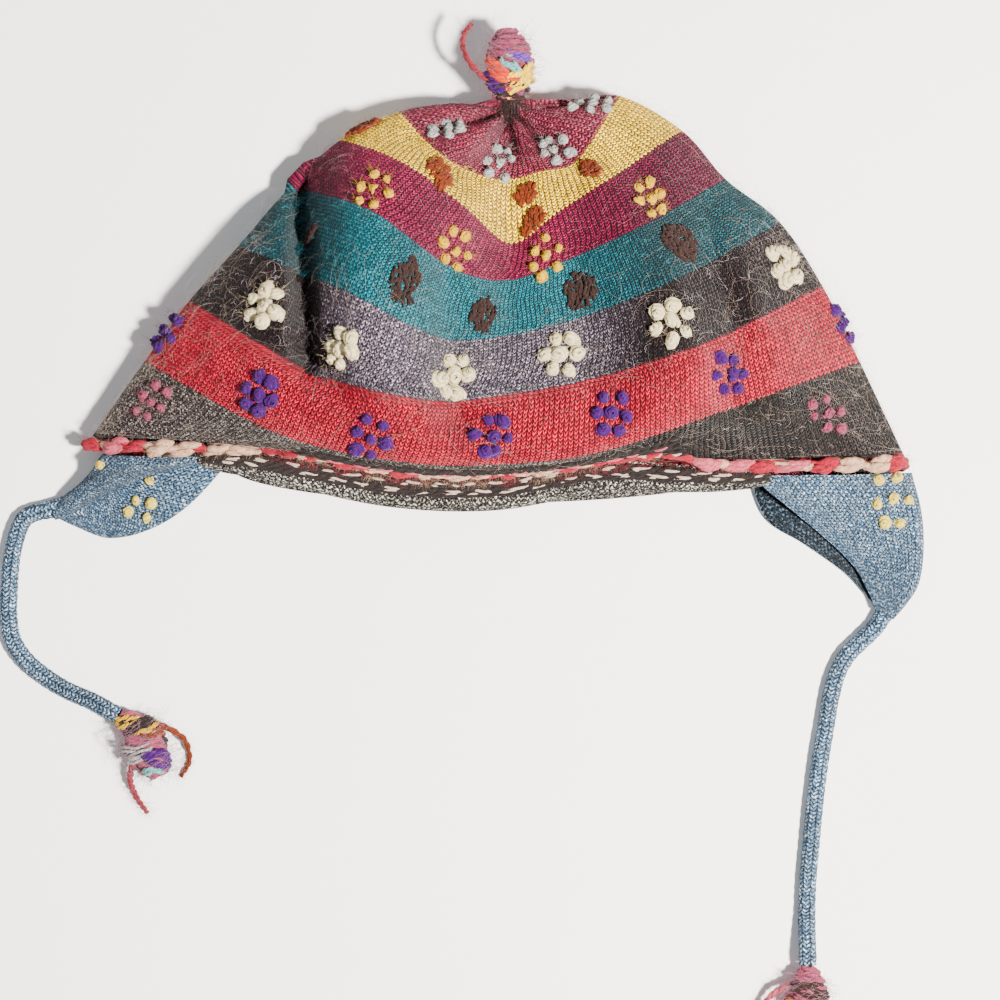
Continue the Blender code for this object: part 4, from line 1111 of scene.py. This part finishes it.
# %% [markdown]
# ## The ear flaps
# A flap is a leaf of denim-blue knitting that is picked up from the rim and narrowed to the tie. Lying
# here, each is folded along its middle, front half over back half, and its free edge curls in. On the right
# the back half shows past it, in its shade. The surface runs from the front edge over the fold to the back
# edge, and then it is given a thickness.

# %% The flaps' shapes
FLAP_ROLL = {"right": 0.0105, "left": 0.0040}
FLAP_OUTERMOST = {"right": 0.150, "left": 0.1335}
FLAP_FOLD = {"right": (0.36, 0.26), "left": (0.08, 0.46)}
# along, front bulge, side bulge, back bulge, ridge
FLAPS = {
    "right": (52.0, -52.0, 1, ((0.00, 0.00, 0.00, 0.00, 0.44), (0.25, -0.050, 0.075, 0.120, 0.33),
                               (0.50, -0.085, 0.12, 0.050, 0.25), (0.75, -0.090, 0.12, -0.010, 0.17),
                               (0.90, -0.040, 0.06, -0.010, 0.115), (1.00, 0.00, 0.00, 0.00, 0.085))),
    "left": (132.0, 228.0, -1, ((0.00, 0.00, 0.00, 0.00, 0.44), (0.25, -0.05, -0.055, 0.16, 0.34),
                                (0.50, -0.06, -0.080, 0.24, 0.27), (0.75, -0.03, -0.055, 0.22, 0.18),
                                (0.90, 0.00, -0.03, 0.10, 0.12), (1.00, 0.00, 0.00, 0.00, 0.085))),
}


def flap_surface(side, across, along):
    """The flap's middle surface as rows of points. across goes from front edge to back edge."""
    front, back, sign, rows = FLAPS[side]
    start = below_edging(np.radians(front + (back - front) * across), np.full(len(across), 0.0005))[0][None]
    start[..., 0] = np.clip(start[..., 0], -FLAP_OUTERMOST[side], FLAP_OUTERMOST[side])
    tip, heading = flap_tip(side)
    beside = np.array([-heading[1], heading[0], 0.0]) * sign
    end = (tip - heading * CLEARANCE - beside * (np.cos(2 * np.pi * across) * TIP_HALF_WIDTH)[:, None])[None]
    table = np.array(rows)
    bulge = through(table[:, 0], table[:, 1:], along)
    line = end - start
    square = unit(np.stack([-line[..., 1], line[..., 0], np.zeros_like(line[..., 0])], -1)) * sign
    stand = np.stack([-bulge[:, 0], bulge[:, 1], -bulge[:, 2]], 0)
    sideways = through((0.0, 0.5, 1.0), stand, across).T
    share = along[:, None, None]
    flat = start * (1 - share) + end * share + square * (sideways * FLAP_LENGTH)[..., None]
    ridge = (bulge[:, 3] * FLAP_LENGTH)[:, None]
    fold_start, fold_length = FLAP_FOLD[side]
    top = (1 - ease((across - fold_start) / fold_length))[None]
    height = LOWEST_MIDDLE + (ridge - LOWEST_MIDDLE) * top
    settle = ease(along / 0.35)[:, None]
    band = (0.05 + 0.12 * along)[:, None]
    deepest = np.minimum(FLAP_ROLL[side], ridge - LOWEST_MIDDLE - 0.0031)
    roll = np.maximum(0, 1 - across[None] / band) ** 1.2 * deepest
    lift = start[..., 2] + (height - start[..., 2]) * settle - roll * ease(along / 0.15)[:, None]
    return np.stack([flat[..., 0], flat[..., 1], np.maximum(LOWEST_MIDDLE, lift)], -1)


print("flaps:", list(FLAPS))


# %% The flaps, knitted
FLAP_COLUMNS, FLAP_ROWS = 110, 60
WALES_COUNTED_AT = 10
flaps = {}
for side in ("left", "right"):
    across, along = np.linspace(0, 1, FLAP_COLUMNS) ** 1.4, np.linspace(0, 1, FLAP_ROWS)
    middle = flap_surface(side, across, along)
    middle += 0.0005 * lumps_at(middle, 0.016, 21)[..., None] * (0, 0, 1)
    normals = -grid_normals(middle, closed=False) * FLAPS[side][2]
    outer, inner = middle + normals * WALL / 2, middle - normals * WALL / 2
    points = np.concatenate([outer.reshape(-1, 3), inner.reshape(-1, 3)])
    quads, places = grid_quads(FLAP_ROWS, FLAP_COLUMNS, closed=False)
    width = length_along(middle[WALES_COUNTED_AT]) / WALE_WIDTH
    deep = along * FLAP_LENGTH / COURSE_HEIGHT
    uv = np.stack([width[places[..., 1]], deep[places[..., 0]]], -1)
    size = FLAP_ROWS * FLAP_COLUMNS
    ring = np.concatenate([np.arange(FLAP_COLUMNS), np.arange(1, FLAP_ROWS) * FLAP_COLUMNS + FLAP_COLUMNS - 1,
                           (FLAP_ROWS - 1) * FLAP_COLUMNS + np.arange(FLAP_COLUMNS - 2, -1, -1),
                           np.arange(FLAP_ROWS - 2, 0, -1) * FLAP_COLUMNS])
    after = np.roll(ring, -1)
    edge = np.stack([ring, after, after + size, ring + size], 1)
    ring_places = np.stack([ring % FLAP_COLUMNS, ring // FLAP_COLUMNS], -1)
    edge_uv = np.zeros((len(edge), 4, 2)) + ring_places[:, None] * 0.7
    faces = np.concatenate([quads, edge, quads[:, ::-1] + size])
    corners = np.concatenate([uv, edge_uv, uv[:, ::-1]])
    if side == "left":
        faces, corners = faces[:, ::-1], corners[:, ::-1]
    flaps[side] = mesh_piece("knitted_ear_flap_" + side, (points, faces, corners), denim_knit,
                             lowest=0.0001, second=denim_inside[side], second_from=len(quads) + len(edge))
    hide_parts("ear_flap_" + side)

# %% The flaps' flowers
# Where each knot is sewn, seen from above
FLAP_KNOTS = {
    "right": ((0.1288, -0.0617), (0.1352, -0.0610), (0.1281, -0.0695), (0.1335, -0.0678), (0.1389, -0.0685),
              (0.1311, -0.0759), (0.1362, -0.0762)),
    "left": ((-0.1291, -0.0508), (-0.1348, -0.0566), (-0.1203, -0.0620), (-0.1247, -0.0685),
             (-0.1196, -0.0695), (-0.1274, -0.0725), (-0.1213, -0.0746)),
}
batches = []
for side, places in FLAP_KNOTS.items():
    flap = flaps[side]
    hits = [flap.ray_cast(Vector((x, y, 0.2)), Vector((0.0, 0.0, -1.0))) for x, y in places]
    found = [hit for hit in hits if hit[0]]
    print(side, "flap:", len(found), "of", len(hits), "knots sewn")
    spots = np.array([hit[1] for hit in found])
    outs = np.array([hit[2] for hit in found])
    batches.append(knots_at(spots, outs, unit(np.cross(outs, [0.0, 1.0, 0.1])), 0.0014, 0.00078))
mesh_piece("flowers_pale_yellow", joined(batches), YARNS["pale_yellow"])

# %% [markdown]
# ## The tassels
# A tassel here is a ball of odd yarns wound over a felted core and tied at the neck. A row of the table is
# a few turns of one colour, side by side, and every strand is three plies twisted together. Loose fibres
# stand out all over it, and one or two single strands are left long.


# %% Winding a tassel
def tassel_axis(base, leave, direction, share):
    """Points along the tassel's middle line, which bends from one way to another."""
    steps = 40
    bend = ease((np.arange(steps) + 0.5) / steps / 0.5)[:, None]
    headings = unit(leave + (direction - leave) * bend)
    line = np.concatenate([[base], base + np.cumsum(headings * (TASSEL_LENGTH / steps), axis=0)])
    return read_at(np.arange(steps + 1), share * steps, line)


def belly_at(share):
    """How full the tassel is along its length, from 0 to 1."""
    return np.sin(np.pi * (0.06 + 0.84 * np.clip(share, 0, 1))) ** 0.8


def square_to(line):
    """Two ways square to a line, and to each other, at each of its points."""
    tangent = unit(np.gradient(line, axis=0))
    side = unit(np.cross(tangent, [0.0, 0.0, 1.0]) + 1e-6)
    return side, np.cross(side, tangent)


def wound_tassel(name, base, leave, direction, wraps, fuzz_count, node):
    """Yarns wound over a fuzzy core. Each row of wraps: yarn, thickness, strands, from and to which share of
    the length, from and to how many degrees round it, where 90 is on top. Returns the pieces."""
    direction, leave = unit(np.array(direction, float)), unit(np.array(leave, float))
    across = unit(np.cross(direction, [0.0, 0.0, 1.0]))
    above = np.cross(across, direction)

    def on_tassel(share, turn, depth):
        lever = TASSEL_RADIUS * belly_at(share) * depth
        return (tassel_axis(base, leave, direction, share) + across * (np.cos(turn) * lever)[..., None]
                + above * (np.sin(turn) * lever * TASSEL_SAG)[..., None])

    pieces = []
    along = np.linspace(0, 1, 18)
    for number, (yarn, thick, strands, share0, share1, turn0, turn1) in enumerate(wraps):
        paths, radii = [], []
        for k in range(strands):
            wander = rng.uniform(0, 2 * np.pi, 3)
            beside = (k - (strands - 1) / 2) * thick * 1.5 / TASSEL_LENGTH + rng.normal(0, 0.012)
            share = share0 + (share1 - share0) * along + beside + 0.020 * np.sin(along * 9 + wander[0])
            turn = np.radians(turn0 + (turn1 - turn0) * along) + 0.12 * np.sin(along * 7 + wander[1])
            depth = 0.90 + 0.06 * np.sin(along * 8 + wander[2]) - 0.45 * np.abs(along * 2 - 1) ** 6
            line = on_tassel(share, turn, depth)
            ply = 2 * np.pi * length_along(line) / (thick * 7)
            side, other = square_to(line)
            for start in (0.0, 2.1, 4.2):
                twist = side * np.cos(ply + start)[:, None] + other * np.sin(ply + start)[:, None]
                paths.append(line + twist * thick * 0.45)
                radii.append(thick * 0.55 * (1 - 0.35 * np.abs(along * 2 - 1) ** 4) * rng.uniform(0.85, 1.1))
        wrap = tubes(np.array(paths), np.array(radii), 6)
        pieces.append(mesh_piece(f"{name}_{yarn}_{number}", wrap, YARNS[yarn], lowest=0.0001))
    share = np.linspace(0.0, 0.99, 30)
    points, quads, uv = tubes(tassel_axis(base, leave, direction, share)[None],
                              (TASSEL_RADIUS * 0.74 * belly_at(share))[None], 24, flat=TASSEL_SAG)
    points = points + (0.0012 * lumps_at(points, 0.006, 60))[:, None] * (1, 1, 0.6)
    pieces.append(mesh_piece(name + "_core", (points, quads, uv), YARNS["dusty_pink"],
                             lowest=0.0002))
    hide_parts(node)

    hair_steps = 6
    share = rng.uniform(0.10, 1.0, fuzz_count)
    turn = rng.uniform(0, 2 * np.pi, fuzz_count)
    radial = across * np.cos(turn)[:, None] + above * np.sin(turn)[:, None]
    round_it = above * np.cos(turn)[:, None] - across * np.sin(turn)[:, None]
    roots = on_tassel(share, turn, 0.9)
    grow = np.linspace(0, 1, hair_steps)
    length = rng.uniform(0.003, 0.009, (fuzz_count, 1))
    swing = rng.uniform(-1.3, 1.3, (fuzz_count, 1))
    lift = rng.uniform(0.1, 0.7, (fuzz_count, 1))
    paths = (roots[:, None] + radial[:, None] * (np.sin(grow * 2.4)[None] * length * lift)[..., None]
             + round_it[:, None] * ((grow**1.3)[None] * length * swing)[..., None]
             + direction * ((grow**2)[None] * length * rng.uniform(-0.6, 1.0, (fuzz_count, 1)))[..., None])
    paths[..., 2] = np.maximum(paths[..., 2], 0.0003)
    fibres = tubes(paths, 0.00006 * np.sqrt(np.linspace(1, 0.1, hair_steps))[None], 3)
    pieces.append(mesh_piece(name + "_fuzz", fibres, tassel_hair))
    return pieces


STRAND_STEPS = 40


def loose_strand(name, base, places, radius, yarn):
    """One long strand, through a few chosen places beside the tassel."""
    places = np.array(places)
    path = base + through(np.arange(len(places)), places, np.linspace(0, len(places) - 1, STRAND_STEPS))
    path[:, 2] = np.maximum(path[:, 2], radius)
    shrink = np.linspace(1.0, 0.55, STRAND_STEPS)
    side, other = square_to(path)
    turn = np.linspace(0, 2 * np.pi * 5, STRAND_STEPS)
    twist = (side * np.cos(turn)[:, None] + other * np.sin(turn)[:, None]) * (radius * 0.5 * shrink)[:, None]
    uneven = 1 + 0.25 * lumps_at(path, 0.004, 77)
    plies = tubes(np.stack([path + twist, path - twist]), (radius * 0.62 * shrink * uneven)[None], 7)
    strand = joined([plies, fluff(path, other, side, radius, 9)])
    return mesh_piece(name, strand, YARNS[yarn], lowest=0.0001)


print("a tassel is", round(TASSEL_LENGTH * 1000), "mm long")

# %% The crown's tassel
seat = np.array([0.0042, 0.0650, 0.0165])
wound_tassel("crown_tassel", seat, (0.0, 0.77, 0.64), (-0.05, 1.0, 0.0), (
    ("dusty_pink", 0.0010, 7, 0.74, 0.90, -60, 250),
    ("dusty_pink", 0.0009, 4, 0.95, 0.62, 250, 20),
    ("violet", 0.0012, 2, 0.72, 0.52, 95, 5),
    ("aqua", 0.0008, 3, 0.66, 0.42, 118, 58),
    ("orange_red", 0.0014, 3, 0.66, 0.26, 175, 62),
    ("yellow", 0.0013, 4, 0.50, 0.20, 20, 100),
    ("purple", 0.0012, 3, 0.44, 0.22, 190, 105),
    ("yellow", 0.0012, 4, 0.30, 0.55, 260, 380),
    ("red", 0.0012, 4, 0.25, 0.60, 180, 280),
    ("brown", 0.0013, 5, 0.04, 0.12, -170, 200),
), 420, "crown_tassel")

# The dark wool that draws the top together, laid thick so that it is partly painted shade of the gathers and
# of the tassel over them
count, grow = 80, np.linspace(0, 1, 7)
turn = rng.uniform(-0.3, math.pi + 0.3, (count, 1)) + rng.normal(0, 0.35, (count, 1)) * grow
reach = 0.002 + rng.uniform(0.008, 0.048, (count, 1)) * grow
spots, outs, _, _ = on_crown(turn.ravel(), reach.ravel())
spots = spots + outs * np.tile(0.0003 + 0.0009 * np.sin(np.pi * grow), count)[:, None]
strands = tubes(spots.reshape(count, 7, 3), (0.00042 * (1 - 0.8 * grow))[None], 5)
mesh_piece("gathering_yarn_and_painted_shade", strands, YARNS["brown"])
fibres = fluff(spots[::2], outs[::2], unit(outs[::2] + (1.0, 0, 0)), 0.0007, 4)
mesh_piece("gathering_fluff_and_painted_shade", fibres, YARNS["brown"])
loose_strand("crown_tassel_tail", seat, (
    (0.0, 0.004, 0.003), (-0.006, 0.007, 0.005), (-0.0125, 0.0125, 0.006), (-0.0160, 0.0195, 0.004),
    (-0.0155, 0.0245, 0.003), (-0.0130, 0.0275, 0.004)), 0.0013, "faded_red")

# %% The ties' tassels
end, heading = tie_ends["left"][0], tie_ends["left"][1] * (1, 1, 0)
base = end + unit(heading) * CLEARANCE
left_pieces = wound_tassel("left_tassel", base, heading, (0.42, -0.91, 0.0), (
    ("gold", 0.0010, 3, 0.08, 0.16, 20, 150),
    ("black", 0.0012, 3, 0.20, 0.30, 30, 200),
    ("gold", 0.0010, 2, 0.30, 0.42, 70, 190),
    ("rust", 0.0010, 2, 0.38, 0.50, 80, 200),
    ("grey_white", 0.0006, 7, 0.50, 0.66, -30, 120),
    ("purple", 0.0011, 4, 0.66, 0.90, 60, 190),
    ("aqua", 0.0008, 2, 0.84, 0.92, 20, 130),
    ("black", 0.0012, 6, 0.40, 0.80, 180, 360),
), 520, "tassel_left")
left_pieces.append(loose_strand("left_tassel_tail_red", base, (
    (0.004, -0.004, 0.0), (0.013, -0.003, 0.001), (0.0215, -0.0075, -0.002), (0.0235, -0.0155, -0.006),
    (0.0205, -0.0215, -0.006)), 0.0013, "rust"))
left_pieces.append(loose_strand("left_tassel_tail_pink", base, (
    (0.006, -0.012, 0.0), (0.0035, -0.021, -0.002), (0.0050, -0.028, -0.006), (0.0090, -0.034, -0.006)),
    0.0013, "faded_red"))
end, heading = tie_ends["right"][0], tie_ends["right"][1] * (1, 1, 0)
base = end + unit(heading) * CLEARANCE
right_pieces = wound_tassel("right_tassel", base, heading, (-0.10, -0.99, 0.0), (
    ("dusty_pink", 0.0010, 4, 0.06, 0.20, 0, 200),
    ("brown", 0.0012, 3, 0.24, 0.34, 10, 190),
    ("dusty_pink", 0.0009, 4, 0.36, 0.56, 40, 170),
    ("gold", 0.0010, 3, 0.50, 0.70, 20, 150),
    ("purple", 0.0011, 4, 0.72, 0.90, 30, 180),
    ("red", 0.0012, 6, 0.30, 0.80, 180, 360),
), 460, "tassel_right")
right_pieces.append(loose_strand("right_tassel_tail", base, (
    (-0.003, -0.006, 0.0), (-0.011, -0.009, 0.0), (-0.0165, -0.0175, -0.004), (-0.0150, -0.026, -0.006)),
    0.0013, "pink"))

# %% The ties' pieces, counted
for side, pieces in (("left", left_pieces), ("right", right_pieces)):
    _, _, path, length = tie_ends[side]
    tuple(path[0])
    [tuple(point) for point in path]
    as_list(pieces)
    print(side, "tie declared,", len(pieces), "pieces on it")

# %% [markdown]
# ## Stray hairs
# Alpaca sheds long fine hairs that lie over the knitting in loops and catch the light. Each follows the
# surface by walking over it in small steps while its heading turns, so it never dives in. A shorter fuzz in
# the stripes' own colours softens the outline.


# %% Hairs that walk over the crown
def walking_hairs(count, reach_range, length_mm, lift_mm, curl, steps, angle_range=(0.0, 2 * np.pi)):
    """Paths of hairs over the crown."""
    angle = rng.uniform(*angle_range, count)
    reach = rng.uniform(*reach_range, count)
    heading = rng.uniform(0, 2 * np.pi, count)
    bend = rng.normal(0, curl, count)
    step = rng.uniform(*length_mm, count) / 1000 / (steps - 1)
    height = rng.uniform(*lift_mm, count) / 1000
    path = []
    for i in range(steps):
        point, out, _, _ = on_crown(angle, np.clip(reach, 0.02, 0.995))
        arch = np.sin(np.pi * (0.08 + 0.92 * i / (steps - 1))) * height + 0.00012
        path.append(point + out * arch[:, None])
        near = np.linalg.norm(on_crown(angle + 0.01, reach)[0] - point, axis=1) / 0.01
        angle = angle + np.cos(heading) * step / np.maximum(near, 0.02)
        reach = np.clip(reach + np.sin(heading) * step / 0.19, 0.02, 0.995)
        heading = heading + bend / (steps - 1) + rng.normal(0, 0.16, count)
    path = np.stack(path, 1)
    path[..., 2] = np.maximum(path[..., 2], 0.0002)
    return path


HAIR_STEPS = 7
taper = np.sqrt(np.linspace(1.0, 0.12, HAIR_STEPS))
front = (0.0, math.pi)
behind = (math.pi, 2 * math.pi)
right_side = (-0.35, 0.45)
left_side = (math.pi - 0.45, math.pi + 0.35)
# how many, from and to which reach, shortest and longest, lowest and highest (mm), radius, round which side
HAIRS = (
    (850, (0.56, 1.0), (5, 20), (0.3, 2.4), 0.000028, front),
    (300, (0.10, 0.60), (4, 12), (0.3, 2.0), 0.000024, front),
    (250, (0.15, 1.0), (5, 15), (0.3, 2.4), 0.000026, behind),
    (110, (0.15, 1.0), (6, 20), (1.5, 5.5), 0.000026, right_side),
    (110, (0.15, 1.0), (6, 20), (1.5, 5.5), 0.000026, left_side),
)
DARK_HAIRS = (
    (380, (0.70, 1.0), (4, 14), (0.15, 0.8), 0.000040, front),
    (220, (0.45, 0.75), (4, 12), (0.15, 0.8), 0.000036, front),
    # Round the top these dark hairs are partly painted shade of the gathers
    (140, (0.02, 0.09), (3, 8), (0.15, 0.8), 0.000040, front),
)
for name, rows, curl, material in (("pale", HAIRS, 1.6, pale_hair), ("dark", DARK_HAIRS, 1.8, dark_hair)):
    batches = []
    for count, span, lengths, lifts, radius, side in rows:
        paths = walking_hairs(count, span, lengths, lifts, curl, HAIR_STEPS, side)
        batches.append(tubes(paths, radius * taper[None], 3))
    mesh_piece("stray_hairs_" + name, joined(batches), material)

# %% The fuzz
FUZZ_PER_STRIPE = 520
FUZZ_STEPS = 4
start = 0.02
for name, end_reach, _, light, *_ in STRIPES[1:]:
    fuzz = hair("wool_fuzz_" + name, light)
    paths = walking_hairs(FUZZ_PER_STRIPE, (start, end_reach), (1.5, 4), (0.3, 1.2), 1.6, FUZZ_STEPS)
    fibres = tubes(paths, 0.000032 * np.sqrt(np.linspace(1.0, 0.1, FUZZ_STEPS))[None], 3)
    mesh_piece("fuzz_" + name, fibres, fuzz)
    start = end_reach

# %% [markdown]
# ## The floor and the light
# A plain pale floor and a studio light from the right, a little below. It is small, because the hat's soft
# ridges need one side in shade to be seen, and a wide weak light above fills the shadows.

# %% The floor
floor_material = bpy.data.materials.new("matt_white_card")
floor_material.use_nodes = True
floor_shader = floor_material.node_tree.nodes["Principled BSDF"]
floor_shader.inputs["Roughness"].default_value = 0.9
grain = add(floor_material.node_tree, "MapRange", {
    "Value": fibre(floor_material.node_tree, 30.0), "To Min": 0.93, "To Max": 0.96}).outputs[0]
paper = add(floor_material.node_tree, "CombineColor", {0: grain, 1: grain, 2: grain}).outputs[0]
floor_material.node_tree.links.new(paper, floor_shader.inputs["Base Color"])
FLOOR_HALF = 3.0
floor_mesh = bpy.data.meshes.new("floor")
corners = [(-FLOOR_HALF, -FLOOR_HALF, 0), (FLOOR_HALF, -FLOOR_HALF, 0), (FLOOR_HALF, FLOOR_HALF, 0),
           (-FLOOR_HALF, FLOOR_HALF, 0)]
floor_mesh.from_pydata(corners, [], [(0, 1, 2, 3)])
floor_mesh.materials.append(floor_material)
floor = bpy.data.objects.new("floor", floor_mesh)
bpy.context.scene.collection.objects.link(floor)
print("floor", FLOOR_HALF * 2, "m across")


# %% The lights
def area_light(name, place, target, size, power, tint):
    """A round lamp that faces its target."""
    data = bpy.data.lights.new(name, "AREA")
    data.shape = "DISK"
    data.size = size
    data.energy = power
    data.color = colour(tint)[:3]
    lamp = bpy.data.objects.new(name, data)
    lamp.location = place
    bpy.context.scene.collection.objects.link(lamp)
    lamp.rotation_euler = (Vector(target) - Vector(place)).to_track_quat("-Z", "Y").to_euler()


area_light("key", (0.50, -0.26, 1.05), (0.0, -0.03, 0.02), 0.12, 74.0, "#fffaf2")
area_light("fill", (-0.5, 0.3, 1.5), (0.0, 0.0, 0.0), 1.6, 6.0, "#f4f8ff")
world = bpy.data.worlds.new("studio")
world.use_nodes = True
world.node_tree.nodes["Background"].inputs["Color"].default_value = (1.0, 1.0, 1.0, 1.0)
world.node_tree.nodes["Background"].inputs["Strength"].default_value = 0.28
bpy.context.scene.world = world
print("two lamps and a pale surround")
